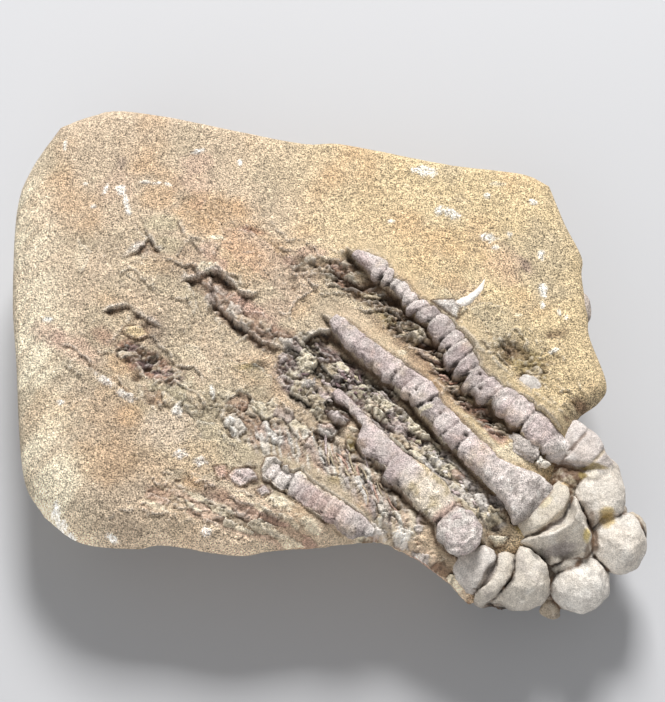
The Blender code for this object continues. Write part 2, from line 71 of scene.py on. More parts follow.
# ---------------------------------------------------------------- arms
# route: (x, y) of the middle line from the thin end to the cup
# right, left: (distance passed, offset) of the two edges, right of +X and +Y being positive
# joints: (distance at the right edge, distance at the left edge, how open it is)
ARMS = {
    "arm_1": {
        "route": [(5.4, 15.4), (9.4, 12.4), (11.6, 9.9), (15.2, 6.2), (19.8, 1.1), (24.4, -5.2),
                  (29.0, -11.3), (34.6, -15.7), (38.0, -19.5), (40.5, -22.0)],
        "right": [(0, 0.9), (0.5, 1.3), (2, 1.6), (4, 2.0), (5.4, 2.3), (5.9, 2.1), (6.2, 1.5),
                  (6.6, 1.9), (7.6, 1.7), (8.1, 1.2), (8.6, 1.5), (9.3, 1.6), (9.9, 2.1), (11.3, 1.9),
                  (11.8, 1.5), (13.0, 1.6), (14.1, 1.5), (14.6, 1.9), (16.0, 1.9), (16.5, 2.3),
                  (18.0, 2.4), (18.5, 2.1), (19.2, 2.5), (21.6, 2.6), (22.2, 2.3), (22.8, 2.6),
                  (23.8, 2.7), (24.2, 2.4), (24.8, 2.7), (26.4, 2.6), (26.9, 2.0), (28.0, 2.0),
                  (29.2, 1.6), (29.6, 1.3), (32.0, 1.4), (32.6, 1.9), (34.0, 2.0), (35.3, 1.8),
                  (35.8, 2.4), (37.4, 2.7), (38.4, 2.6), (39.0, 2.9), (41.0, 2.9), (42.0, 2.4),
                  (42.6, 2.7), (46.5, 2.8), (47.2, 2.7), (51.6, 2.3)],
        "left": [(0, -0.3), (1.0, -0.5), (2.5, -0.6), (3.2, -0.9), (4.0, -1.1), (5.0, -1.5), (6.0, -1.6),
                 (6.5, -1.4), (6.8, -0.6), (7.2, -1.2), (7.9, -1.2), (8.3, -0.5), (8.8, -0.7),
                 (9.4, -0.5), (11.6, -0.5), (12.0, -0.9), (12.6, -1.2), (13.2, -1.0), (13.5, -1.5),
                 (14.2, -1.8), (14.9, -1.4), (15.2, -1.1), (15.8, -1.5), (16.8, -1.6), (17.8, -1.3),
                 (18.3, -0.9), (18.8, -1.6), (19.6, -1.8), (21.0, -1.9), (21.8, -2.1), (22.3, -1.7),
                 (22.6, -2.3), (23.6, -2.3), (24.0, -1.8), (24.5, -2.4), (25.5, -3.0), (26.4, -3.5),
                 (26.9, -3.2), (27.2, -2.2), (27.6, -3.2), (28.4, -3.7), (28.9, -3.3), (29.3, -2.4),
                 (29.9, -1.4), (30.2, -2.4), (30.8, -3.6), (31.9, -3.9), (32.2, -3.0), (32.5, -2.6),
                 (33.2, -2.7), (34.0, -3.2), (34.6, -2.7), (35.4, -1.2), (36.0, -1.6), (37.0, -2.1),
                 (38.4, -1.8), (39.0, -2.2), (40.0, -2.8), (41.0, -2.4), (41.8, -1.7), (42.2, -2.7),
                 (44.0, -2.9), (45.6, -2.7), (46.4, -2.3), (47.4, -1.7), (48.4, -0.5), (49.4, 0.6),
                 (51.6, 1.4)],
        "joints": [(5.9, 6.8, 1.0), (8.0, 8.3, 0.9), (9.6, 9.4, 0.5), (11.6, 11.8, 0.6),
                   (14.2, 13.3, 0.8), (16.3, 15.2, 0.6), (18.5, 18.2, 0.9), (22.0, 22.4, 0.8),
                   (24.2, 23.9, 0.9), (26.8, 27.3, 0.9), (29.4, 29.4, 0.8), (32.0, 32.1, 0.6),
                   (35.5, 35.2, 0.6), (38.5, 38.5, 0.35), (42.0, 41.6, 0.8), (46.5, 46.7, 0.5)],
        "pits": [(33.0, -1.6, 0.3), (30.9, 0.3, 0.25)],
        "crest": [(0, 0.9), (5.5, 1.5), (8, 1.0), (12, 1.1), (20, 1.9), (30, 2.1), (38, 2.3), (44, 1.5),
                  (47.5, 0.2), (51.6, -2.2)],
    },
    "arm_2": {
        "route": [(1.5, 2.9), (6.6, -2.1), (14.1, -8.2), (18.6, -14.0), (25.0, -21.7), (28.6, -25.6),
                  (31.6, -28.2), (33.4, -29.8), (34.9, -31.2)],
        "right": [(0, 1.7), (1, 2.0), (8, 2.1), (12, 2.0), (16, 2.1), (18, 2.5), (19.5, 2.9), (21.5, 2.9),
                  (22.4, 2.4), (24, 2.2), (28, 2.3), (31, 2.5), (34, 2.7), (36.4, 2.6), (38, 3.0),
                  (39.4, 3.6), (41, 4.3), (43, 5.2), (45.9, 5.9), (47.9, 5.9)],
        "left": [(0, -0.2), (1, -0.7), (2, -1.0), (4, -1.2), (6, -1.3), (8, -1.6), (11, -1.7),
                 (12.4, -1.8), (13.2, -2.2), (14.6, -1.9), (16.5, -2.1), (18.2, -2.2), (19.4, -1.7),
                 (20.8, -1.7), (21.6, -2.0), (24, -1.7), (26, -1.8), (27.8, -2.1), (28.8, -2.2),
                 (29.6, -1.7), (31, -1.5), (37, -1.6), (40, -1.4), (42, -1.6), (43.6, -2.2), (44.6, -2.8),
                 (45.4, -2.8), (46.2, -1.9), (47.0, -0.4), (47.9, 1.6)],
        "joints": [(2.4, 2.2, 0.2), (4.5, 4.4, 0.25), (6.4, 6.6, 0.2), (8.5, 8.6, 0.3),
                   (10.8, 10.7, 0.35), (13.0, 13.1, 0.5), (14.9, 14.8, 0.55), (17.5, 17.3, 0.55),
                   (19.1, 19.3, 0.5), (22.0, 21.6, 0.95), (25.0, 25.4, 0.55), (27.9, 27.7, 0.7),
                   (30.6, 31.0, 0.8), (33.4, 33.2, 0.3)],
        "pits": [(14.6, -0.4, 0.25), (19.3, -0.2, 0.22), (22.1, 0.9, 0.35), (24.9, 0.5, 0.2),
                 (30.4, 1.2, 0.5)],
        "crest": [(0, 0.8), (3, 1.4), (13, 1.8), (25, 2.0), (36, 2.2), (40, 1.7), (43.6, 0.7), (45.4, -0.2),
                  (47.6, -2.0)],
    },
    "arm_3": {
        "route": [(1.7, -10.1), (6.4, -15.9), (10.6, -20.0), (15.4, -26.0), (18.8, -29.4), (20.3, -31.2),
                  (22.3, -33.6), (24.0, -35.4)],
        "right": [(0, 1.5), (2, 1.8), (8, 2.0), (12, 1.8), (15, 2.0), (17, 2.5), (19, 3.0), (22, 3.4),
                  (24, 3.6), (25.5, 3.2), (27, 2.6), (27.9, 2.2), (28.6, 2.8), (30, 3.1), (32, 3.1),
                  (33.8, 2.6)],
        "left": [(0, -0.3), (2, 0.0), (4, 0.5), (6, 0.4), (7.8, 0.1), (8.4, -1.6), (9, -2.5), (10, -2.9),
                 (11, -3.4), (12, -2.9), (14.4, -2.8), (15.6, -2.3), (16.2, -2.6), (16.8, -3.8), (18.2, -3.6),
                 (19, -2.8), (20, -2.6), (26.8, -2.7), (27.9, -2.5), (28.6, -3.2), (30, -3.8), (32, -3.6),
                 (33.8, -2.8)],
        "joints": [(8.4, 8.6, 0.3), (12.0, 12.4, 0.3), (14.9, 15.8, 0.45), (17.2, 19.3, 0.6),
                   (21.0, 21.6, 0.45), (24.2, 24.4, 0.35), (27.6, 28.0, 0.9)],
        "pits": [],
        "crest": [(0, 0.3), (8, 0.8), (12, 1.2), (20, 1.3), (26, 1.2), (28, 0.9), (31, 1.3), (33.8, 0.2)],
    },
    "arm_4": {
        "route": [(-8.9, -22.6), (-6.4, -24.6), (-0.6, -28.8), (4.1, -31.5), (8.6, -34.0), (12.4, -36.0)],
        "right": [(0, 1.9), (1.8, 1.9), (2.3, 1.5), (2.8, 1.7), (3.9, 1.7), (4.4, 2.0), (5.0, 3.0),
                  (5.8, 2.8), (7, 2.5), (13, 2.3), (16, 2.0), (18, 1.8), (19.6, 1.3), (21, 0.9),
                  (25.2, 0.6)],
        "left": [(0, -1.7), (1.5, -2.0), (2.2, -1.8), (3, -2.0), (4.6, -2.0), (5.3, -1.4), (6, -1.9),
                 (12, -2.0), (14.2, -1.6), (16, -2.1), (17.4, -2.2), (18.2, -1.9), (19.2, -1.2),
                 (20.4, -0.3), (22.2, 0.0), (25.2, 0.2)],
        "joints": [(2.4, 2.3, 0.8), (4.6, 5.3, 1.0), (6.9, 7.0, 0.3), (8.6, 8.5, 0.45), (10.3, 10.2, 0.4),
                   (12.2, 12.0, 0.55), (14.6, 14.2, 0.5), (16.9, 16.8, 0.45), (19.4, 19.3, 0.5)],
        "pits": [],
        "end": 20.6,
        "crest": [(0, -0.1), (4.5, 0.1), (5.5, 0.6), (14, 0.6), (17.5, 0.3), (20, -1.0), (25.2, -5.0)],
    },
}


# ---------------------------------------------------------------- small maths
def smoothstep(low, high, value):
    share = np.clip((value - low) / (high - low), 0.0, 1.0)
    return share * share * (3.0 - 2.0 * share)


def bell(value, width=1.0):
    return np.exp(-(value / width) ** 2)


def at_distance(passed, rows):
    """The value at each distance passed, from (distance, value) rows."""
    return np.interp(passed, *np.transpose(rows))


def turned(x, y, degrees):
    """How far points lie along and across a heading."""
    c, s = math.cos(math.radians(degrees)), math.sin(math.radians(degrees))
    return x * c + y * s, -x * s + y * c


def curve_through(points, shares):
    """Rows at the given shares of the length of a Catmull-Rom curve; extra columns are carried along."""
    knots = np.asarray(points, float)
    padded = np.vstack([2 * knots[0] - knots[1], knots, 2 * knots[-1] - knots[-2]])
    fine = []
    for i in range(1, len(padded) - 2):
        a, b, c, d = padded[i - 1:i + 3]
        t = np.linspace(0.0, 1.0, 24, endpoint=False)[:, None]
        fine.append(0.5 * (2 * b + (c - a) * t + (2 * a - 5 * b + 4 * c - d) * t ** 2
                           + (3 * b - a - 3 * c + d) * t ** 3))
    fine = np.vstack(fine + [knots[-1:]])
    steps = np.linalg.norm(np.diff(fine[:, :2], axis=0), axis=1)
    along = np.concatenate([[0.0], np.cumsum(steps)])
    wanted = np.asarray(shares) * along[-1]
    return np.stack([np.interp(wanted, along, column) for column in fine.T], axis=1)


def length_of(path):
    """Length of a path seen from above."""
    return np.linalg.norm(np.diff(np.asarray(path)[:, :2], axis=0), axis=1).sum()


def along_path(x, y, path):
    """Signed distance to a path, positive on its left, and the distance passed along it."""
    path = np.asarray(path, float)[:, :2]
    steps = np.linalg.norm(np.diff(path, axis=0), axis=1)
    starts = np.concatenate([[0.0], np.cumsum(steps)])
    best = np.full(x.shape, 1e9)
    side = np.ones(x.shape)
    passed = np.zeros(x.shape)
    for i, length in enumerate(steps):
        ux, uy = (path[i + 1] - path[i]) / length
        rx, ry = x - path[i, 0], y - path[i, 1]
        t = np.clip(rx * ux + ry * uy, 0.0, length)
        distance = np.hypot(rx - t * ux, ry - t * uy)
        nearer = distance < best
        best = np.where(nearer, distance, best)
        side = np.where(nearer, np.where(ux * ry - uy * rx >= 0, 1.0, -1.0), side)
        passed = np.where(nearer, starts[i] + t, passed)
    return best * side, passed


def inside_outline(x, y, outline):
    """Signed distance to a closed outline, negative inside."""
    outline = np.asarray(outline, float)
    best = np.full(x.shape, 1e9)
    inside = np.zeros(x.shape, bool)
    for a, b in zip(outline, np.roll(outline, -1, axis=0)):
        ex, ey = b - a
        rx, ry = x - a[0], y - a[1]
        t = np.clip((rx * ex + ry * ey) / (ex * ex + ey * ey), 0.0, 1.0)
        best = np.minimum(best, np.hypot(rx - t * ex, ry - t * ey))
        crosses = (a[1] > y) != (b[1] > y)
        with np.errstate(divide="ignore", invalid="ignore"):
            at = a[0] + (y - a[1]) * ex / ey if ey else np.full(x.shape, np.inf)
        inside ^= crosses & (x < at)
    return np.where(inside, -best, best)


class GradientNoise:
    """Seeded 3-D gradient noise, from about -1 to 1, one cell a unit."""

    def __init__(self, seed):
        rng = np.random.default_rng(seed)
        self.table = np.tile(rng.permutation(256), 2)
        grads = rng.normal(size=(256, 3))
        self.grads = grads / np.linalg.norm(grads, axis=1)[:, None]

    def __call__(self, x, y, z):
        x, y, z = np.broadcast_arrays(x, y, z)
        cells = [np.floor(v).astype(int) for v in (x, y, z)]
        fracs = [v - c for v, c in zip((x, y, z), cells)]
        fades = [f * f * f * (f * (f * 6 - 15) + 10) for f in fracs]
        total = np.zeros(x.shape)
        for dx in (0, 1):
            for dy in (0, 1):
                for dz in (0, 1):
                    key = self.table[(cells[0] + dx) & 255]
                    key = self.table[(key + cells[1] + dy) & 255]
                    key = self.table[(key + cells[2] + dz) & 255]
                    grad = self.grads[key]
                    dot = (grad[..., 0] * (fracs[0] - dx) + grad[..., 1] * (fracs[1] - dy)
                           + grad[..., 2] * (fracs[2] - dz))
                    weight = ((fades[0] if dx else 1 - fades[0]) * (fades[1] if dy else 1 - fades[1])
                              * (fades[2] if dz else 1 - fades[2]))
                    total += weight * dot
        return total * 1.6


NOISE = GradientNoise(11)


def fbm(x, y, z, size, octaves=4, gain=0.5):
    """Layered noise whose largest lumps are about size across."""
    total, amplitude, norm = 0.0, 1.0, 0.0
    for octave in range(octaves):
        k = 2.03 ** octave / size
        total = total + amplitude * NOISE(x * k + 7.3 * octave, y * k - 3.1 * octave, z * k + 1.7 * octave)
        norm += amplitude
        amplitude *= gain
    return total / norm


def ridged(x, y, z, size, octaves=3):
    """Layered noise from 0 to 1 with sharp crests."""
    total, amplitude, norm = 0.0, 1.0, 0.0
    for octave in range(octaves):
        k = 2.03 ** octave / size
        layer = 1.0 - np.abs(NOISE(x * k + 17.3 * octave, y * k + 5.1 * octave, z * k)) * 1.6
        total = total + amplitude * np.clip(layer, 0, 1)
        norm += amplitude
        amplitude *= 0.55
    return total / norm


# ---------------------------------------------------------------- colours
def colour(red, green, blue):
    """Linear colour from display values of 0 to 255."""
    srgb = np.array([red, green, blue]) / 255.0
    return np.where(srgb <= 0.04045, srgb / 12.92, ((srgb + 0.055) / 1.055) ** 2.4)


def mix(a, b, share):
    """Colours a turned into b by a share for each point; either may be one colour."""
    share = np.clip(share, 0.0, 1.0)[..., None]
    return a * (1 - share) + b * share


def layered(paint, layers):
    """Tints laid one over another, from (tint, share) rows."""
    for tint, share in layers:
        paint = mix(paint, tint, share)
    return paint


BEIGE = colour(193, 173, 149)
OCHRE = colour(205, 183, 145)
ORANGE = colour(192, 154, 114)
GREY_BEIGE = colour(174, 160, 136)
GREENISH = colour(180, 169, 142)
PINK = colour(182, 150, 134)
PINK_BROWN = colour(150, 116, 98)
BROWN = colour(108, 84, 64)
OLIVE = colour(142, 124, 78)
PURPLE = colour(118, 98, 98)
DARK = colour(43, 35, 30)
CREAM = colour(228, 216, 190)
WHITE = colour(244, 240, 232)
LAVENDER = colour(188, 172, 168)
GREY = colour(158, 148, 142)
PALE_GREY = colour(216, 208, 200)

# ---------------------------------------------------------------- relief of the face
# (path, drop, reach): the face drops on the left of the path and climbs back over its reach
SCARPS = [
    ([(-9.4, 8.3), (-10.6, 8.0), (-12.0, 7.7), (-13.2, 8.2), (-14.2, 9.3), (-15.4, 10.3), (-16.6, 11.3),
      (-17.6, 12.3), (-18.8, 12.5), (-20.0, 11.8), (-21.3, 11.2), (-22.8, 11.3), (-24.5, 9.5)], 2.1, 4.5),
    ([(-5.0, -2.3), (-6.6, -2.0), (-8.2, -1.4), (-9.6, -0.8), (-10.8, -0.1), (-12.0, 1.3), (-13.2, 2.3),
      (-14.4, 2.9), (-15.4, 4.2), (-16.6, 5.2), (-17.6, 6.5), (-18.6, 7.4), (-19.6, 8.2)], 1.7, 5.0),
    ([(-25.6, 15.0), (-26.4, 15.6), (-27.4, 16.3), (-28.4, 17.0), (-29.2, 18.8), (-30.4, 17.5),
      (-32.0, 16.3), (-34.2, 14.8)], 0.9, 3.5),
    ([(-26.6, 2.2), (-28.4, 3.4), (-29.8, 4.3), (-31.0, 5.0), (-32.2, 5.8), (-33.6, 6.1), (-35.4, 5.7),
      (-37.4, 4.6)], 1.0, 4.0),
    ([(-19.6, 18.1), (-21.5, 18.5), (-22.7, 18.6), (-23.4, 19.4), (-24.0, 20.4), (-24.5, 21.5),
      (-25.2, 22.8)], 0.45, 3.0),
    ([(-19.6, 15.2), (-20.8, 15.9), (-21.6, 17.0), (-22.2, 17.9), (-23.8, 17.7)], 0.45, 2.0),
    ([(-0.4, 13.2), (-1.6, 13.8), (-2.8, 13.5), (-3.9, 12.9), (-5.1, 11.9)], 0.7, 1.3),
    ([(-33.0, 2.6), (-33.8, 1.0), (-34.4, 0.0), (-35.8, -1.2)], 0.5, 1.5),
    ([(-40.0, -4.2), (-37.5, -5.4), (-35.5, -6.6), (-34.2, -7.4), (-33.4, -8.4), (-32.4, -9.4),
      (-30.0, -10.2)], 0.5, 2.2),
    ([(-2.4, -3.2), (-3.6, -3.2), (-5.2, -3.9)], 0.6, 1.2),
    ([(2.2, 2.0), (1.0, 1.0), (-0.4, 0.9), (-1.6, 0.2), (-3.0, -1.4)], 1.2, 2.2),
    ([(-9.6, -23.2), (-10.4, -22.9), (-11.8, -22.8), (-13.4, -23.2), (-15.2, -22.9)], 0.6, 1.4),
    ([(-9.8, -25.2), (-11.2, -25.9), (-13.0, -26.8)], 0.5, 1.5),
    ([(2.6, -17.4), (1.6, -18.0), (0.2, -17.4), (-1.4, -16.6)], 0.9, 1.6),
    ([(10.4, -23.2), (8.6, -22.6), (7.0, -21.6), (5.6, -21.3), (4.0, -21.6)], 0.9, 2.0),
    ([(16.6, -31.0), (14.4, -28.6), (12.6, -26.6), (11.4, -25.7), (9.6, -25.2), (8.4, -24.6)], 0.9, 2.0),
    ([(-17.4, -16.4), (-15.8, -16.8), (-14.6, -17.9), (-13.8, -18.4)], 0.5, 1.0),
    ([(-1.6, -36.2), (-4.4, -34.9), (-7.8, -34.4), (-9.6, -32.6), (-12.4, -31.6), (-15.4, -30.4),
      (-18.4, -28.8), (-21.6, -26.6)], 0.5, 3.0),
    ([(12.0, 31.0), (16.0, 28.4), (21.0, 26.5), (27.0, 25.8)], 0.25, 7.0),
]
CRACKS = [  # path, depth, half width
    ([(-11.2, -27.4), (-9.4, -25.1), (-8.3, -25.5), (-6.8, -26.7), (-5.6, -27.3), (-4.6, -28.0),
      (-2.8, -29.4), (-0.8, -30.9), (0.4, -31.8), (1.6, -32.0), (2.6, -33.2), (4.4, -34.8),
      (6.6, -35.0)], 0.9, 0.20),
    ([(4.0, 7.4), (6.4, 7.9), (9.0, 8.9)], 0.8, 0.35),
    ([(3.4, 9.8), (5.6, 10.2), (8.0, 10.4), (10.2, 10.9)], 0.9, 0.45),
    ([(1.4, 11.6), (3.0, 11.9), (4.6, 11.0)], 0.6, 0.4),
    ([(10.6, 3.1), (12.6, 3.0), (14.2, 3.6), (15.8, 4.3)], 1.0, 0.30),
    ([(13.6, 2.2), (15.0, 2.0), (16.2, 2.7), (18.0, 2.3)], 1.0, 0.26),
    ([(11.4, 0.8), (13.4, 0.9), (15.4, 1.2)], 0.5, 0.25),
    ([(12.0, -0.9), (14.4, -1.0), (15.8, -1.8), (17.6, -1.6), (20.4, -0.7)], 1.0, 0.28),
    ([(18.6, -6.3), (20.4, -5.9), (22.6, -5.2)], 1.1, 0.34),
    ([(21.6, -7.5), (23.0, -7.3), (24.4, -6.9)], 1.0, 0.26),
    ([(20.6, -10.8), (22.6, -11.2), (24.6, -11.6), (26.0, -11.8), (28.0, -11.4)], 0.8, 0.30),
    ([(25.6, -15.2), (27.0, -14.6), (28.6, -14.8), (30.2, -14.4)], 0.9, 0.45),
    ([(30.2, -15.6), (31.2, -16.2), (32.4, -16.2), (33.6, -15.8)], 1.0, 0.30),
    ([(30.4, -16.8), (31.6, -17.2), (33.4, -18.2), (35.6, -19.4)], 0.7, 0.28),
    ([(2.8, -8.6), (4.2, -7.0), (5.8, -6.0)], 0.9, 0.4),
    ([(2.0, -8.2), (3.0, -7.0), (4.2, -6.0)], 0.4, 0.25),
    ([(-7.2, -6.2), (-6.0, -8.2), (-4.6, -8.9)], 0.6, 0.35),
    ([(-30.0, -4.8), (-28.6, -4.9), (-27.2, -4.5), (-26.0, -5.0)], 0.7, 0.4),
    ([(-27.2, -8.5), (-26.4, -8.4)], 0.4, 0.25),
    ([(-29.8, -11.4), (-28.6, -11.2), (-27.6, -11.5), (-26.4, -12.6), (-25.0, -13.4)], 0.6, 0.4),
    ([(-23.6, -14.4), (-22.6, -14.4)], 0.5, 0.35),
    ([(-12.6, -5.4), (-10.5, -4.9), (-8.2, -4.2)], 0.5, 0.6),
    ([(-15.2, 21.6), (-13.4, 20.9), (-12.2, 20.3), (-10.4, 20.0), (-9.0, 19.2)], 0.4, 0.45),
    ([(-7.0, 6.3), (-6.3, 6.6), (-5.7, 6.4), (-5.5, 5.8)], 0.35, 0.18),
    ([(-35.6, 27.4), (-35.2, 26.4), (-34.5, 25.6), (-34.2, 24.2), (-33.8, 22.8)], 0.3, 0.16),
    ([(-33.0, 25.2), (-32.0, 25.7), (-31.0, 25.4), (-30.2, 24.2)], 0.3, 0.16),
    ([(37.2, -0.6), (38.6, 0.0), (40.2, 0.6)], 0.5, 0.5),
    ([(35.4, -4.2), (36.8, -4.6), (38.4, -5.0)], 0.5, 0.3),
    ([(21.4, -36.6), (21.0, -38.2)], 0.4, 0.2),
    ([(-17.6, -10.6), (-17.0, -11.6)], 0.5, 0.35),
    ([(-23.4, -24.8), (-22.6, -25.6)], 0.5, 0.5),
    ([(-19.6, -23.9), (-20.6, -23.9)], 0.4, 0.25),
    ([(10.8, -28.8), (12.0, -29.0), (12.8, -30.2)], 0.7, 0.45),
    ([(14.8, -29.4), (15.8, -30.6)], 0.6, 0.4),
    ([(15.4, -31.8), (17.4, -32.4)], 0.5, 0.4),
]
RIDGES = [  # path, rise, half width
    ([(22.0, 3.0), (24.2, 0.0), (26.4, -3.2), (29.0, -5.4), (31.4, -7.8), (34.0, -10.2), (37.0, -12.0),
      (39.6, -14.2), (41.0, -16.4)], 0.55, 0.55),
    ([(-21.5, -23.4), (-12.2, -28.6), (-3.0, -31.6), (2.0, -34.0)], 0.9, 2.2),
    ([(-36.6, -6.9), (-33.6, -9.4), (-30.6, -10.9)], 0.3, 0.6),
    ([(-4.7, 11.2), (-3.4, 11.7), (-2.0, 11.7)], 0.4, 0.35),
    ([(-7.4, 5.8), (-7.0, 4.4), (-6.0, 3.9), (-5.1, 4.6), (-4.7, 5.7)], 0.25, 0.25),
    ([(-11.9, 3.6), (-11.0, 4.7), (-9.6, 4.0), (-9.4, 2.8), (-10.4, 2.2), (-11.5, 2.7)], 0.25, 0.25),
    ([(11.8, 0.1), (13.6, 0.0), (15.8, -0.2)], 0.55, 0.40),
    ([(12.6, 2.3), (14.4, 2.6)], 0.45, 0.35),
    ([(10.4, 4.6), (12.4, 4.6), (13.8, 5.0)], 0.5, 0.5),
    ([(13.6, 1.6), (15.8, 1.8), (17.4, 1.2)], 0.45, 0.4),
    ([(15.6, 0.6), (17.4, 0.0), (18.4, -0.6)], 0.4, 0.4),
    ([(14.0, -2.0), (16.6, -2.6), (19.4, -2.0)], 0.4, 0.5),
    ([(4.2, 9.0), (6.4, 9.2), (9.0, 9.8)], 0.4, 0.3),
    ([(1.8, -7.6), (3.0, -6.6), (4.0, -5.6)], 0.5, 0.25),
    ([(3.4, -8.8), (4.6, -7.8), (5.6, -7.2)], 0.5, 0.3),
    ([(3.0, 15.5), (4.6, 16.6)], 0.5, 0.4),
    ([(18.8, -8.0), (20.0, -9.4), (21.0, -9.9), (21.6, -11.4), (22.4, -12.6)], 0.35, 0.25),
    ([(22.0, -13.2), (24.4, -15.8), (26.8, -18.0), (28.6, -20.2)], 0.45, 0.6),
    ([(26.4, -31.0), (28.2, -30.2), (29.8, -29.4)], 0.6, 0.28),
    ([(26.8, -29.8), (28.4, -28.6)], 0.4, 0.25),
    ([(8.0, -27.2), (8.5, -29.0), (8.7, -31.0)], 0.35, 0.25),
    ([(4.2, -25.0), (4.7, -27.0)], 0.3, 0.22),
    ([(7.4, -24.8), (8.8, -27.0), (10.2, -29.6), (12.6, -32.6)], 0.3, 0.22),
    ([(-3.0, -20.0), (-2.2, -21.4), (-3.8, -25.6)], 0.3, 0.4),
    ([(11.6, -34.6), (14.6, -36.6), (18.0, -38.6), (21.2, -41.0)], 0.5, 0.8),
]
PITS = [  # centre, radius, depth
    ((-30.4, 0.4), 3.6, 0.9), ((-27.6, -3.8), 3.2, 0.9), ((-30.6, -6.6), 1.0, 0.8), ((-28.0, -2.4), 0.6, 0.4),
    ((-31.6, -4.8), 0.8, 0.4), ((-24.2, -4.4), 0.8, 0.4), ((-4.6, 9.1), 0.9, 0.8), ((-4.9, 10.6), 0.7, 0.6),
    ((5.3, 14.4), 1.2, 1.2), ((3.0, 11.2), 1.4, 0.6), ((11.9, 7.2), 1.5, 1.9), ((7.0, 9.0), 3.2, 0.8),
    ((31.6, -2.8), 1.7, 1.3), ((30.8, -4.8), 1.0, 0.8), ((33.4, -8.0), 2.2, 1.0), ((42.4, -11.9), 1.7, 1.5),
    ((28.0, -14.6), 1.1, 1.4), ((34.9, 12.6), 0.8, 0.3), ((0.6, -14.4), 0.9, 1.1), ((1.0, 0.2), 1.3, 0.8),
    ((4.6, -3.2), 1.6, 0.8), ((-0.6, -10.6), 2.4, 0.6), ((28.2, -31.9), 1.3, 1.8), ((28.0, -28.2), 1.4, 0.8),
    ((39.8, -14.4), 0.8, 0.7), ((12.0, -29.6), 1.5, 0.6),
]
FORMS = [  # broad swells and dips of the face: centre, radii, turn, rise
    ((-12.0, 11.6), (9.0, 4.6), -40, 1.0),
    ((-20.4, 7.4), (5.0, 2.4), -38, -0.5),
    ((-15.0, -3.6), (6.0, 3.6), -40, 0.7),
    ((-28.4, -3.0), (5.4, 4.6), 0, -0.8),
    ((-34.0, 9.0), (7.0, 5.0), -30, 0.5),
    ((-35.0, -20.0), (11.0, 8.0), 0, 0.4),
    ((-16.0, -17.0), (9.0, 4.0), -20, -0.4),
    ((-29.0, 14.8), (5.0, 2.4), -30, 0.5),
    ((-26.0, 20.0), (4.0, 3.0), 0, 0.5),
    ((-8.6, 1.6), (4.6, 2.4), -40, 0.6),
    ((-4.0, 16.0), (5.0, 2.4), -30, 0.5),
    ((28.0, -2.0), (5.0, 3.0), -50, 0.5),
    ((-44.0, -4.0), (5.0, 8.0), 0, -0.3), ((-20.0, -9.0), (4.0, 3.0), 30, 0.4),
]
SEATS = [((40.0, -24.5), 4.5, 4.0), ((29.5, -39.5), 6.5, 6.0), ((24.0, -42.0), 3.0, 3.5)]  # under the cup
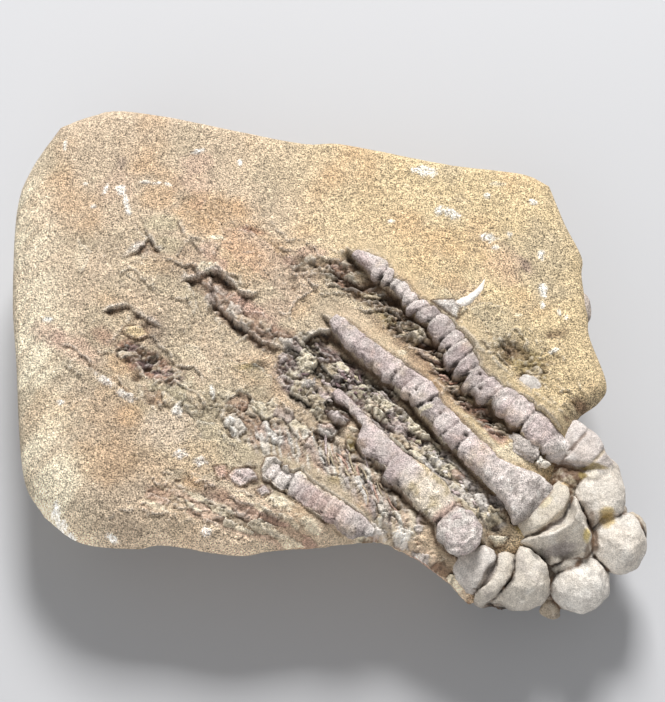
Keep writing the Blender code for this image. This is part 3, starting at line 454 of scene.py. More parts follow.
LUMPS = [  # centre, radii, turn, rise, tint
    ((20.2, 23.7), (0.8, 0.9), 0, 0.25, WHITE), ((22.2, 23.2), (1.7, 0.8), -38, 0.25, WHITE),
    ((28.5, 26.6), (0.5, 0.7), 0, 0.15, WHITE), ((30.5, 28.9), (1.2, 0.5), 0, 0.1, CREAM),
    ((36.5, 25.3), (0.9, 0.5), -20, 0.12, WHITE), ((28.4, 18.5), (1.4, 0.9), -20, 0.15, WHITE),
    ((29.6, 16.5), (0.7, 0.4), 0, 0.1, WHITE), ((32.1, 18.9), (0.4, 0.6), 0, 0.1, WHITE),
    ((12.0, 21.7), (0.6, 0.4), 0, 0.12, WHITE), ((37.3, 15.0), (0.6, 0.9), 0, 0.15, WHITE),
    ((37.3, 8.3), (0.7, 1.5), 0, 0.2, WHITE), ((37.1, 5.6), (0.4, 0.6), 0, 0.12, WHITE),
    ((39.8, 4.4), (0.3, 0.8), 10, 0.12, WHITE), ((40.9, 3.2), (0.4, 0.5), 0, 0.1, WHITE),
    ((33.0, 3.7), (0.7, 0.3), 0, 0.1, CREAM), ((20.6, 5.6), (1.6, 0.6), -14, 0.2, PALE_GREY),
    ((22.2, 3.8), (0.5, 1.1), 0, 0.2, PALE_GREY), ((38.6, -2.8), (1.0, 0.4), 20, 0.15, WHITE),
    ((18.0, 31.8), (2.4, 1.0), -14, 0.1, WHITE), ((-21.5, 35.7), (1.2, 0.5), 10, 0.2, WHITE),
    ((-14.2, 33.6), (0.5, 0.6), 0, 0.15, WHITE), ((-34.7, 28.2), (0.9, 1.1), 0, 0.2, WHITE),
    ((-33.7, 25.6), (0.5, 2.1), 14, 0.2, WHITE), ((-44.9, 37.2), (0.3, 1.2), 0, 0.1, WHITE),
    ((-40.9, 29.5), (0.4, 0.35), 0, 0.12, WHITE), ((-39.4, 25.1), (0.5, 0.4), 0, 0.1, WHITE),
    ((-37.4, 28.3), (0.4, 0.9), -20, 0.1, WHITE), ((-30.6, 29.7), (1.1, 0.3), -4, 0.2, WHITE),
    ((-28.4, 29.4), (0.9, 0.22), 0, 0.15, WHITE), ((-26.7, 29.2), (0.8, 0.25), -24, 0.2, WHITE),
    ((-23.6, -13.0), (0.9, 1.0), 0, 0.3, WHITE), ((-17.9, -9.6), (0.4, 1.3), 12, 0.25, WHITE),
    ((-15.0, -15.0), (1.0, 0.8), 20, 0.4, WHITE), ((-14.3, -16.8), (0.5, 1.0), 20, 0.4, WHITE),
    ((-42.9, -29.3), (1.0, 1.3), 0, 0.15, WHITE), ((-42.0, -31.2), (0.9, 0.8), 0, 0.12, WHITE),
    ((-40.8, -32.8), (1.4, 0.6), -35, 0.1, WHITE), ((-42.9, -11.2), (0.6, 0.5), 0, 0.12, WHITE),
    ((-45.9, 3.7), (0.9, 0.5), 0, 0.12, WHITE), ((-33.4, -33.8), (1.0, 0.5), -20, 0.1, WHITE),
    ((-18.2, -33.6), (0.9, 0.7), 0, 0.15, PALE_GREY), ((-19.5, -22.0), (1.1, 0.9), 0, 0.15, PALE_GREY),
    ((-22.7, -20.7), (1.2, 0.9), 0, 0.12, PALE_GREY), ((-17.8, 18.7), (1.4, 0.5), -4, 0.12, CREAM),
    ((-19.6, 13.1), (1.8, 0.8), 8, 0.15, CREAM), ((-6.3, -3.6), (0.7, 1.2), -24, 0.35, LAVENDER),
    ((0.6, -3.9), (1.3, 0.6), -14, 0.3, LAVENDER), ((2.6, -7.6), (0.6, 1.4), -46, 0.35, LAVENDER),
    ((-2.2, -8.3), (1.3, 0.6), 20, 0.3, PALE_GREY), ((-4.6, -6.8), (1.4, 0.9), 0, 0.3, CREAM),
    ((9.2, -13.7), (1.1, 0.9), -20, 0.5, CREAM), ((10.3, -14.7), (1.1, 0.6), -30, 0.4, CREAM),
    ((8.0, -12.6), (0.9, 0.8), 0, 0.4, CREAM), ((11.6, -13.4), (0.6, 0.9), 20, 0.5, LAVENDER),
    ((13.4, -14.2), (0.8, 0.5), 40, 0.5, GREY), ((15.4, -16.0), (0.9, 0.5), 30, 0.5, CREAM),
    ((12.6, -16.6), (1.0, 0.9), 0, 0.5, LAVENDER), ((17.0, -17.6), (1.2, 0.5), 0, 0.5, CREAM),
    ((14.2, -15.4), (0.5, 0.4), 0, 0.4, LAVENDER), ((5.8, -10.2), (1.4, 1.0), 0, 0.4, GREENISH),
    ((7.0, -8.6), (1.0, 0.6), 0, 0.4, CREAM), ((10.2, -10.4), (0.7, 0.6), 30, 0.4, LAVENDER),
    ((13.1, -13.0), (1.2, 0.7), -30, 0.4, BROWN), ((19.0, -22.0), (1.4, 1.0), -30, 0.35, PALE_GREY),
    ((21.0, -22.6), (0.9, 0.7), 0, 0.35, CREAM), ((22.2, -24.0), (1.4, 0.8), -30, 0.3, PINK),
    ((21.8, -26.2), (1.1, 0.6), 0, 0.3, CREAM), ((17.6, -20.6), (1.0, 0.6), 0, 0.2, GREY),
    ((24.6, -25.8), (1.2, 0.8), -40, 0.25, GREY), ((25.8, -28.2), (1.6, 1.0), -50, 0.25, PALE_GREY),
    ((28.6, -33.9), (1.7, 0.6), 8, 0.5, CREAM),
    ((35.6, -21.4), (1.1, 0.9), 0, 1.1, WHITE), ((31.0, -19.3), (0.7, 0.5), 0, 0.3, CREAM),
    ((0.9, -16.0), (1.4, 0.8), -24, 0.5, PINK), ((-0.9, -13.0), (1.1, 0.5), 0, 0.4, CREAM),
    ((2.4, -14.5), (1.4, 0.8), -40, 0.9, LAVENDER), ((5.4, -16.3), (1.0, 0.4), -14, 0.5, CREAM),
    ((3.6, -12.9), (1.0, 0.4), -30, 0.3, CREAM), ((4.9, -18.8), (0.9, 1.3), 20, 0.4, OLIVE),
    ((-11.9, -24.4), (1.7, 1.2), -20, 0.5, LAVENDER), ((-9.0, -26.9), (1.2, 0.9), -30, 0.4, LAVENDER),
    ((-6.6, -29.0), (2.4, 1.1), -24, 0.3, CREAM), ((-1.6, -32.6), (2.4, 0.8), -30, 0.2, CREAM),
    ((-15.2, -24.4), (1.2, 0.9), 0, 0.2, PINK), ((27.7, -17.2), (1.6, 0.8), -40, 0.2, PINK),
    ((26.0, -12.8), (1.0, 0.6), 0, 0.3, PINK), ((13.4, -3.3), (0.8, 0.5), 0, 0.2, CREAM),
    ((6.8, 12.6), (1.4, 0.5), -10, 0.3, GREY_BEIGE), ((2.2, 13.2), (1.6, 0.4), 0, 0.2, PINK),
    ((18.8, -28.4), (1.2, 0.6), 20, 0.3, CREAM), ((-35.6, -7.6), (1.8, 0.7), -40, 0.12, PALE_GREY),
    ((-32.0, -10.4), (1.8, 0.7), -30, 0.12, PALE_GREY), ((15.6, -33.0), (0.8, 0.6), 0, 0.3, PALE_GREY),
    ((13.2, -33.6), (1.6, 1.0), -20, 0.3, WHITE), ((8.6, -33.0), (2.2, 0.8), -20, 0.3, PALE_GREY),
]
STAINS_AND_SHADOWS = [  # centre, radii, turn, tint, strength; the DARK ovals are painted shadow, under ledges and in hollows
    ((-14.0, 8.0), (22.0, 10.0), -32, GREY_BEIGE, 0.55), ((-30.0, -4.0), (9.0, 8.0), -20, GREY_BEIGE, 0.6),
    ((-6.0, -20.0), (20.0, 8.0), -30, GREY_BEIGE, 0.5), ((-24.0, 14.5), (9.0, 3.6), -32, PINK_BROWN, 0.35),
    ((-17.6, 9.6), (6.0, 2.0), -35, PINK_BROWN, 0.55), ((-20.0, -16.0), (12.0, 8.0), -20, GREENISH, 0.45),
    ((8.0, 8.0), (9.0, 4.0), -38, GREY_BEIGE, 0.5), ((20.0, -8.0), (11.0, 4.0), -52, PINK_BROWN, 0.35),
    ((-28.3, 2.0), (2.0, 2.8), 0, PINK_BROWN, 0.55), ((-28.5, -4.2), (4.2, 2.4), -20, PINK_BROWN, 0.85),
    ((-28.0, -4.4), (3.0, 1.6), -16, BROWN, 0.6), ((-30.6, -6.4), (1.2, 1.0), 0, BROWN, 0.6),
    ((-26.8, 1.0), (1.8, 3.4), 0, PURPLE, 0.4), ((-31.2, 1.4), (2.0, 1.4), 0, ORANGE, 0.3),
    ((-36.4, 0.8), (2.4, 1.8), -30, PINK_BROWN, 0.6), ((-41.0, -1.6), (6.0, 2.4), -30, PINK, 0.55),
    ((-46.0, 1.2), (3.4, 2.4), -30, PINK, 0.45), ((-31.6, -1.0), (2.4, 1.0), -20, PINK_BROWN, 0.7),
    ((-33.4, -4.6), (3.0, 2.2), -30, ORANGE, 0.5), ((-30.6, 17.2), (2.2, 1.0), -40, PURPLE, 0.5),
    ((-32.0, 17.2), (1.8, 0.6), 42, PALE_GREY, 0.5), ((-35.4, 29.0), (3.6, 3.4), 0, PINK, 0.25),
    ((-34.9, 33.6), (0.9, 1.4), 0, PURPLE, 0.3), ((-21.5, 33.6), (3.0, 2.4), 0, PINK, 0.4),
    ((-28.0, 26.4), (4.0, 2.6), -14, ORANGE, 0.4), ((-18.0, 23.8), (7.5, 4.0), -12, ORANGE, 0.6),
    ((-20.5, 20.6), (4.0, 2.2), 0, ORANGE, 0.4), ((-22.0, 29.4), (4.0, 2.4), 0, PINK, 0.35),
    ((-13.4, 14.8), (6.0, 4.6), -40, ORANGE, 0.55), ((-19.0, 16.2), (2.2, 2.0), -30, PINK, 0.6),
    ((-17.0, 13.2), (1.6, 1.4), -30, PINK, 0.6), ((-27.4, 21.6), (3.6, 2.2), -10, GREENISH, 0.6),
    ((-26.0, 17.6), (2.6, 2.0), 0, GREENISH, 0.5), ((-28.4, 13.4), (4.0, 1.8), 0, ORANGE, 0.25),
    ((-13.0, 5.6), (4.4, 2.0), -40, PINK, 0.85), ((-9.6, 1.6), (4.0, 2.2), -30, PINK, 0.6),
    ((-7.4, 5.0), (3.0, 2.4), 0, PINK, 0.35), ((-17.5, 9.0), (3.4, 1.0), -26, PINK, 0.6),
    ((-19.6, 8.8), (3.4, 0.9), -24, BROWN, 0.45), ((-16.8, 5.9), (2.4, 0.8), -50, BROWN, 0.6),
    ((-2.0, 15.6), (3.6, 1.2), 0, PINK, 0.5), ((-5.0, 14.2), (1.6, 1.0), 0, PINK, 0.5),
    ((-6.8, 15.4), (1.2, 3.4), 22, BROWN, 0.25), ((-11.8, 20.2), (2.6, 0.8), -14, PINK_BROWN, 0.8),
    ((-1.6, 12.0), (2.6, 2.0), 0, BROWN, 0.3), ((0.6, 11.4), (2.6, 1.6), -10, BROWN, 0.45),
    ((4.6, 11.2), (2.6, 1.8), 0, BROWN, 0.65), ((7.4, 9.6), (3.4, 1.8), 16, BROWN, 0.8),
    ((5.2, 14.4), (1.6, 1.2), -20, DARK, 0.7), ((11.6, 6.6), (2.4, 1.9), -40, BROWN, 0.9),
    ((11.8, 7.5), (1.5, 1.0), -20, DARK, 0.8), ((13.8, 3.4), (3.6, 1.6), -20, BROWN, 0.75),
    ((16.8, 0.8), (3.0, 2.4), -40, BROWN, 0.7), ((18.4, -3.0), (3.2, 2.4), -50, PINK_BROWN, 0.9),
    ((20.4, -6.4), (2.6, 1.4), 10, BROWN, 0.6), ((22.4, -10.2), (2.0, 2.0), 0, BROWN, 0.3),
    ((24.6, -12.4), (3.0, 1.6), -30, PINK_BROWN, 0.6), ((27.6, -15.0), (2.8, 1.8), -30, BROWN, 0.5),
    ((22.0, -24.0), (4.5, 1.6), -45, PALE_GREY, 0.5), ((-16.5, -28.5), (6.5, 2.8), -26, CREAM, 0.3),
    ((23.5, -9.5), (5.0, 1.4), -48, OCHRE, 0.5),
    ((28.6, -17.6), (2.0, 1.4), -30, PINK, 0.8), ((31.0, -16.0), (1.6, 1.4), 0, BROWN, 0.7),
    ((13.0, 5.0), (0.8, 0.6), 0, PINK, 0.8), ((-11.6, -5.2), (2.4, 0.9), 14, OLIVE, 0.8),
    ((-10.4, -6.4), (3.0, 1.6), 10, GREY_BEIGE, 0.5), ((-24.0, 1.0), (6.0, 6.0), 0, GREY_BEIGE, 0.5),
    ((-25.0, -16.0), (5.0, 4.0), 0, PALE_GREY, 0.3), ((-35.0, -22.0), (6.0, 4.5), -30, ORANGE, 0.35),
    ((-31.6, -14.0), (2.6, 2.4), -50, ORANGE, 0.4), ((-45.0, -13.0), (5.0, 5.0), 0, ORANGE, 0.2),
    ((-17.4, -27.2), (4.6, 1.5), -26, PINK_BROWN, 0.55), ((-13.4, -29.6), (4.4, 1.2), -30, PINK_BROWN, 0.45),
    ((-7.2, -32.4), (4.8, 0.9), -26, PINK_BROWN, 0.65), ((-3.0, -34.4), (3.4, 0.8), -24, PINK_BROWN, 0.6),
    ((-20.4, -25.8), (2.4, 1.4), -30, ORANGE, 0.6), ((6.6, -28.6), (1.2, 1.6), 20, ORANGE, 0.6),
    ((2.6, -24.6), (1.6, 1.8), 30, OLIVE, 0.55), ((9.8, -31.2), (1.6, 1.4), 30, OLIVE, 0.6),
    ((6.6, -21.6), (3.4, 0.7), -12, BROWN, 0.6), ((12.2, -26.4), (3.6, 0.9), -40, BROWN, 0.6),
    ((5.0, -18.9), (1.0, 1.8), 20, OLIVE, 0.7), ((12.6, -36.2), (3.0, 0.8), -20, PINK_BROWN, 0.6),
    ((17.0, -37.6), (3.6, 1.2), -36, PINK, 0.7), ((33.4, -4.2), (4.4, 2.2), -10, OLIVE, 0.7),
    ((31.6, -2.8), (1.5, 1.2), 0, BROWN, 0.8), ((30.8, -4.9), (1.0, 1.0), 0, BROWN, 0.5),
    ((42.4, -11.9), (1.6, 1.1), -20, BROWN, 0.8), ((39.2, 0.2), (2.2, 1.0), 20, BROWN, 0.5),
    ((36.8, -4.8), (2.2, 0.6), -10, BROWN, 0.5), ((40.2, -14.6), (0.8, 0.7), 0, BROWN, 0.7),
    ((31.0, 14.0), (2.8, 5.0), 30, PINK, 0.25), ((34.6, 13.0), (0.8, 1.4), 30, PURPLE, 0.5),
    ((22.0, 10.0), (6.0, 2.0), -30, ORANGE, 0.35), ((16.0, 14.0), (7.0, 3.0), -30, OCHRE, 0.4),
    ((31.0, 12.0), (5.0, 3.0), 0, PINK, 0.2), ((21.6, 5.0), (1.8, 1.2), -30, PALE_GREY, 0.95),
    ((20.8, 5.0), (1.6, 0.8), -30, GREY, 0.5), ((28.6, -21.0), (5.0, 1.2), -44, CREAM, 0.6),
    ((24.8, -15.8), (5.0, 0.8), -48, OCHRE, 0.8), ((31.6, -21.0), (2.4, 1.4), -30, CREAM, 0.6),
    ((27.0, -25.6), (6.0, 0.7), -50, OLIVE, 0.8), ((31.2, -31.0), (2.6, 0.6), -62, OLIVE, 0.9),
    ((39.4, -21.0), (2.6, 1.2), -24, BROWN, 0.9), ((36.6, -19.8), (2.6, 0.5), -22, OLIVE, 0.8),
    ((28.0, -28.4), (1.8, 1.6), -50, PURPLE, 0.9), ((28.0, -31.8), (1.6, 0.9), 10, DARK, 0.9),
    ((10.6, 6.4), (2.6, 1.2), -24, BROWN, 0.8), ((12.6, 3.6), (2.6, 1.0), -24, BROWN, 0.75),
    ((14.6, -0.6), (2.4, 0.8), -24, BROWN, 0.6), ((-10.4, -4.9), (2.0, 0.8), 14, DARK, 0.75),
    ((-9.9, -1.5), (3.6, 0.6), -36, DARK, 0.9), ((-13.9, 1.9), (2.8, 0.5), -38, DARK, 0.75),
    ((10.6, 2.0), (4.2, 1.5), -42, BROWN, 0.45), ((15.2, -3.0), (3.6, 1.3), -44, BROWN, 0.5),
    ((19.4, -6.8), (2.6, 1.2), -46, BROWN, 0.45), ((9.6, 8.0), (2.4, 0.8), -20, DARK, 0.6),
]
# Ground broken into angular plates: path, half width, size, stretch, turn, rise, tints and their strength
PLATY = [
    ([(-5.6, -5.6), (-3.0, -9.6), (0.0, -11.6), (2.6, -13.6)], 2.4, 1.5, 1.8, -40, 1.0,
     (DARK, DARK, PURPLE, GREY, PURPLE, LAVENDER, GREY_BEIGE), 0.85),
    ([(-2.4, -2.4), (2.0, -5.6), (6.0, -8.6), (9.0, -11.4)], 3.4, 1.6, 2.2, -45, 1.1,
     (DARK, DARK, PURPLE, PURPLE, GREY, LAVENDER, GREY_BEIGE, CREAM), 0.85),
    ([(10.4, -12.8), (14.5, -18.0), (18.0, -21.4)], 3.2, 1.6, 2.2, -45, 1.1,
     (PURPLE, GREY, LAVENDER, GREY_BEIGE, BEIGE, CREAM, CREAM), 0.8),
    ([(18.0, -21.0), (24.0, -27.4), (28.0, -30.4)], 2.2, 1.4, 1.8, -48, 0.8,
     (GREY, GREY_BEIGE, PALE_GREY, CREAM, PALE_GREY, CREAM), 0.75),
    ([(2.0, 11.4), (8.0, 8.0), (12.6, 3.8), (16.4, 0.2), (20.0, -5.6), (24.0, -11.2), (29.0, -16.6)], 1.6,
     1.6, 2.6, -8, 1.3, (BROWN, PINK_BROWN, BEIGE, GREY_BEIGE, OCHRE, CREAM), 0.65),
    ([(-12.0, -15.0), (-2.0, -17.0), (4.0, -21.0), (9.0, -26.5), (13.0, -31.4)], 3.4, 2.6, 1.5, -58, 0.8,
     (PINK_BROWN, BEIGE, CREAM, LAVENDER, CREAM, PALE_GREY), 0.6),
    ([(-9.0, -18.0), (-2.0, -19.5), (4.0, -23.0), (9.0, -28.5), (12.0, -31.0)], 2.6, 0.5, 5.0, -78, 0.24,
     (BEIGE, PINK, LAVENDER, PALE_GREY, WHITE), 0.5),
    ([(-18.0, 8.4), (-14.6, 4.6), (-10.6, 1.2), (-5.4, -0.6)], 1.6, 1.7, 1.5, -42, 0.6,
     (PINK_BROWN, PINK, BEIGE, LAVENDER, PALE_GREY), 0.6),
    ([(8.4, 7.4), (11.0, 4.6), (13.4, 1.2)], 1.8, 1.5, 2.4, -10, 0.9,
     (DARK, BROWN, BROWN, OCHRE, BROWN, OLIVE), 0.6),
    ([(-31.8, -1.6), (-28.4, -4.2), (-25.2, -6.6)], 2.2, 1.2, 1.3, 20, 0.7,
     (DARK, PURPLE, PINK_BROWN, BROWN, PINK, BEIGE), 0.75),
    ([(-27.0, -9.6), (-18.0, -12.6), (-10.0, -11.6)], 2.6, 2.3, 1.5, -20, 0.6,
     (PINK_BROWN, GREY_BEIGE, BEIGE, GREENISH, CREAM), 0.45),
    ([(-26.0, -28.0), (-12.0, -31.8), (-2.0, -34.8)], 2.2, 1.0, 3.8, -24, 0.5,
     (PINK, BEIGE, PINK, CREAM), 0.5),
    ([(7.0, -34.6), (10.0, -34.6), (14.0, -36.4), (18.0, -38.8), (22.0, -41.8)], 1.7, 1.4, 1.5, -30, 0.8,
     (BROWN, PINK_BROWN, BEIGE, PALE_GREY, CREAM), 0.75),
    ([(-3.4, 13.2), (1.0, 12.6), (4.2, 12.8)], 1.6, 1.4, 1.6, 12, 0.8,
     (BROWN, PINK_BROWN, BEIGE, GREY_BEIGE), 0.55),
    ([(30.0, -2.0), (33.0, -3.8), (35.4, -7.0)], 2.0, 1.6, 1.4, 20, 0.6,
     (BROWN, OLIVE, BEIGE, GREY_BEIGE), 0.55),
    ([(-36.0, 16.0), (-30.0, 14.0), (-24.0, 10.0), (-20.0, 4.0), (-12.0, -4.0)], 6.0, 6.5, 1.5, -40, 0.5,
     (BEIGE, GREY_BEIGE, BEIGE, GREENISH, CREAM), 0.25),
    ([(-20.0, 22.0), (-12.0, 16.0), (-5.0, 8.0)], 4.6, 5.6, 1.5, -50, 0.45,
     (ORANGE, BEIGE, PINK, BEIGE), 0.25),
    ([(-40.0, -6.0), (-30.0, -14.0), (-22.0, -22.0)], 6.0, 6.0, 1.4, -35, 0.35,
     (BEIGE, GREY_BEIGE, ORANGE), 0.2),
    ([(24.0, 6.0), (34.0, -2.0), (38.0, -10.0)], 4.0, 5.0, 1.4, -50, 0.4, (OCHRE, BEIGE, GREENISH), 0.25),
]
ROUGH = [  # crumbled and fibrous ground: path, half width
    ([(-31.0, 0.0), (-27.4, -4.4), (-24.6, -9.0), (-18.0, -13.0), (-10.0, -13.0)], 3.0),
    ([(-20.0, -26.0), (-12.0, -31.0), (-4.0, -34.6)], 2.6),
    ([(10.0, 8.0), (14.0, 3.0), (19.0, -3.0), (23.5, -10.5), (29.0, -16.5)], 1.8),
    ([(32.0, -3.0), (37.0, -4.0), (36.0, -8.0)], 2.6),
    ([(12.0, -35.4), (20.0, -39.8)], 2.0),
    ([(-15.0, 7.5), (-8.0, 0.5), (-5.0, 4.0)], 2.4),
]
PLATE_REACH = 5.0  # no flat plate reaches further than this from its middle
FACE_PLATES = [  # flat plates lying in the face: outline, rise, tint
    ([(-8.9, -21.4), (-7.3, -21.2), (-6.3, -22.4), (-7.2, -24.0), (-8.2, -25.6), (-9.3, -25.2),
      (-9.5, -23.4)],
     0.55, PALE_GREY),
    ([(-5.4, -22.8), (-4.9, -24.2), (-5.5, -26.7), (-6.2, -27.0), (-7.5, -26.1), (-8.0, -25.6), (-7.0, -23.9),
      (-6.1, -22.9)], 0.45, PALE_GREY),
    ([(-13.9, -23.2), (-11.6, -22.9), (-10.6, -23.9), (-10.1, -25.0), (-12.9, -26.6), (-14.2, -26.0),
      (-14.8, -24.6)], 0.5, LAVENDER),
    ([(-17.3, -22.8), (-15.3, -22.7), (-15.1, -24.8), (-16.6, -25.2)], 0.3, PINK),
    ([(-10.5, -26.8), (-9.0, -26.2), (-8.0, -27.4), (-9.4, -28.3)], 0.35, GREY),
    ([(1.0, -13.6), (2.6, -13.0), (4.6, -14.6), (4.0, -15.8), (2.0, -15.4)], 0.9, LAVENDER),
    ([(-0.6, -15.8), (1.6, -15.4), (2.8, -16.6), (2.2, -17.4), (0.6, -17.8), (-0.4, -17.0)], 0.6, PALE_GREY),
    ([(-0.4, -3.7), (1.6, -3.4), (1.2, -4.3), (-0.2, -4.5)], 0.4, LAVENDER),
    ([(18.5, 6.2), (22.2, 6.5), (23.4, 5.2), (22.6, 2.6), (21.3, 3.6), (19.6, 5.2)], 0.3, GREY),
    ([(16.0, -17.2), (17.6, -17.2), (18.0, -18.0), (16.6, -18.1)], 0.5, CREAM),
    ([(8.6, -12.8), (10.0, -12.9), (10.5, -14.4), (9.6, -15.1), (8.4, -14.2)], 0.5, CREAM),
    ([(20.0, -3.6), (21.6, -4.2), (22.0, -6.0), (20.6, -5.6)], 0.5, PINK),
    ([(13.0, -8.0), (11.2, -9.6), (12.6, -11.0), (13.8, -9.6)], 0.3, GREY_BEIGE),
    ([(-32.8, 2.8), (-30.0, 2.9), (-29.2, 1.4), (-31.0, 0.6), (-33.0, 1.4)], 0.35, OCHRE),
    ([(5.0, -35.3), (6.4, -35.0), (7.3, -35.5), (6.4, -36.2)], 0.3, PALE_GREY),
    ([(27.0, -26.9), (28.6, -27.2), (30.0, -29.0), (29.0, -29.8), (27.4, -28.6)], 0.5, GREY),
    ([(18.5, -30.4), (20.4, -29.6), (22.4, -29.0), (22.6, -29.9), (20.0, -31.0)], 0.4, PINK),
    ([(26.8, -33.6), (30.4, -33.4), (29.6, -34.6), (28.0, -35.0)], 0.5, CREAM),
    ([(14.4, -24.0), (13.0, -22.4), (12.2, -24.0), (13.4, -25.4)], 0.4, GREENISH),
    ([(4.2, -18.2), (5.6, -18.2), (5.6, -20.2), (4.2, -20.0)], 0.3, OLIVE),
]
LEDGES = [  # broken steps: path, half width, rise, size, the way up in degrees
    ([(-28.0, 14.0), (-22.0, 13.0), (-12.0, 6.0), (-3.0, 3.0)], 4.5, 0.8, 5.2, 52),
    ([(-10.0, 18.0), (-2.0, 13.0), (4.0, 11.0)], 3.0, 0.55, 2.6, 60),
    ([(-38.0, -2.0), (-30.0, -4.0), (-24.0, -8.0), (-16.0, -12.0), (-8.0, -10.0)], 4.0, 0.7, 3.6, 55),
    ([(-24.0, -28.0), (-12.0, -31.0), (-2.0, -34.0)], 3.0, 0.55, 1.8, 72),
    ([(-30.0, -33.0), (-10.0, -35.0)], 3.0, 0.5, 1.6, 85),
    ([(4.0, 10.0), (11.0, 6.0), (16.4, 0.4), (21.6, -7.0), (27.4, -14.2)], 1.5, 1.3, 2.3, 76),
    ([(30.0, -2.0), (36.0, -4.0), (34.0, -8.0), (40.0, -12.0)], 3.0, 0.6, 2.4, 40),
    ([(-13.0, -17.0), (-4.0, -16.0), (2.0, -21.0), (9.0, -27.0)], 3.0, 0.6, 2.0, 50),
    ([(10.0, -35.0), (20.0, -40.0)], 2.5, 0.5, 1.4, 60),
]

# Beside each arm: painted shade at the foot of its shadowed left side and in the seam on its right, how much
# the rock drops on its left and how far that reaches, and how high the rock stands on its right
FLANKS = {
    "arm_1": {"shade_and_grime": 0.65, "seam": 0.8, "drop": 2.1, "reach": 3.2,
              "bank": [(0, 0.7), (10, 0.5), (22, 1.1), (30, 1.0), (40, 1.5), (52, 0.6)]},
    "arm_2": {"shade_and_grime": 0.72, "seam": 1.0, "drop": 2.4, "reach": 3.4,
              "bank": [(0, 0.6), (10, 1.1), (22, 1.4), (32, 1.4), (38, 0.4), (46, -1.5)]},
    "arm_3": {"shade_and_grime": 0.7, "seam": 0.2, "drop": 1.2, "reach": 2.2,
              "bank": [(0, 0.2), (10, 0.8), (16, 1.2), (22, 1.2), (28, 0.6), (34, -0.6)]},
    "arm_4": {"shade_and_grime": 0.3, "seam": 0.0, "drop": 0.5, "reach": 4.0,
              "bank": [(0, 0.5), (10, 0.7), (18, 0.4), (25, -0.8)]},
}


def ends_fade(passed, length, fade=0.12):
    share = passed / length
    return smoothstep(0.0, fade, share) * smoothstep(1.0, 1.0 - fade, share)


def around(x, y, path, margin):
    """Which points lie in a path's box and a margin round it."""
    low, high = np.min(path, axis=0)[:2] - margin, np.max(path, axis=0)[:2] + margin
    return (x > low[0]) & (x < high[0]) & (y > low[1]) & (y < high[1])


def zone(x, y, paths, soft):
    """How far points belong to wide paths, from 0 to 1, with a soft edge."""
    mask = np.zeros(x.shape)
    for path, half in paths:
        part = around(x, y, path, half + soft)
        distance = np.abs(along_path(x[part], y[part], path)[0])
        mask[part] = np.maximum(mask[part], smoothstep(half + soft, half, distance))
    return mask


def comes_and_goes(passed, seed):
    """A share that rises and sinks along a path, so that it is broken up."""
    return smoothstep(-0.5, 0.3, fbm(passed, seed * 5.7 + 0.3, 0.5, 3.0, 3))


def ledges(x, y, size, turn, seed):
    """Broken steps that face one way: each rises sharply and sinks slowly back."""
    field = turned(x, y, turn)[0] / size + 1.5 * fbm(x, y, seed, size * 2.2, 4, 0.55)
    share = field - np.floor(field)
    strong = smoothstep(-0.35, 0.35, fbm(x, y, seed + 3.0, size * 1.8, 2))
    return strong * (smoothstep(0.0, 0.12, share) - share)


def scramble(u, v, seed):
    """A number from 0 to 1 for each cell."""
    return np.abs(np.sin(u * 127.1 + v * 311.7 + seed * 74.7) * 43758.5453) % 1.0


def flakes(x, y, size, stretch, turn, seed):
    """Angular plates: height of each, nearness to the gap round it (0 is the gap), share of the tints."""
    along, across = turned(x, y, turn)
    u = along / (size * stretch) + 0.38 * fbm(x, y, seed, 1.6 * size, 4, 0.65)
    v = across / size + 0.38 * fbm(x, y, seed + 4.0, 1.6 * size, 4, 0.65)
    column, row = np.floor(u), np.floor(v)
    best, second = np.full(x.shape, 9.0), np.full(x.shape, 9.0)
    height, share = np.zeros(x.shape), np.zeros(x.shape)
    for right in (-1, 0, 1):
        for up in (-1, 0, 1):
            a, b, k = [scramble(column + right, row + up, seed + salt) for salt in (0.0, 1.0, 2.0)]
            du, dv = u - column - right - 0.1 - 0.8 * a, v - row - up - 0.1 - 0.8 * b
            away = np.hypot(du, dv)
            plate = k - 0.5 + 0.9 * (a - 0.5) * du + 0.9 * (b - 0.3) * dv
            closer = away < best
            second = np.where(closer, best, np.minimum(second, away))
            height = np.where(closer, plate, height)
            share = np.where(closer, k, share)
            best = np.where(closer, away, best)
    return height, second - best, share


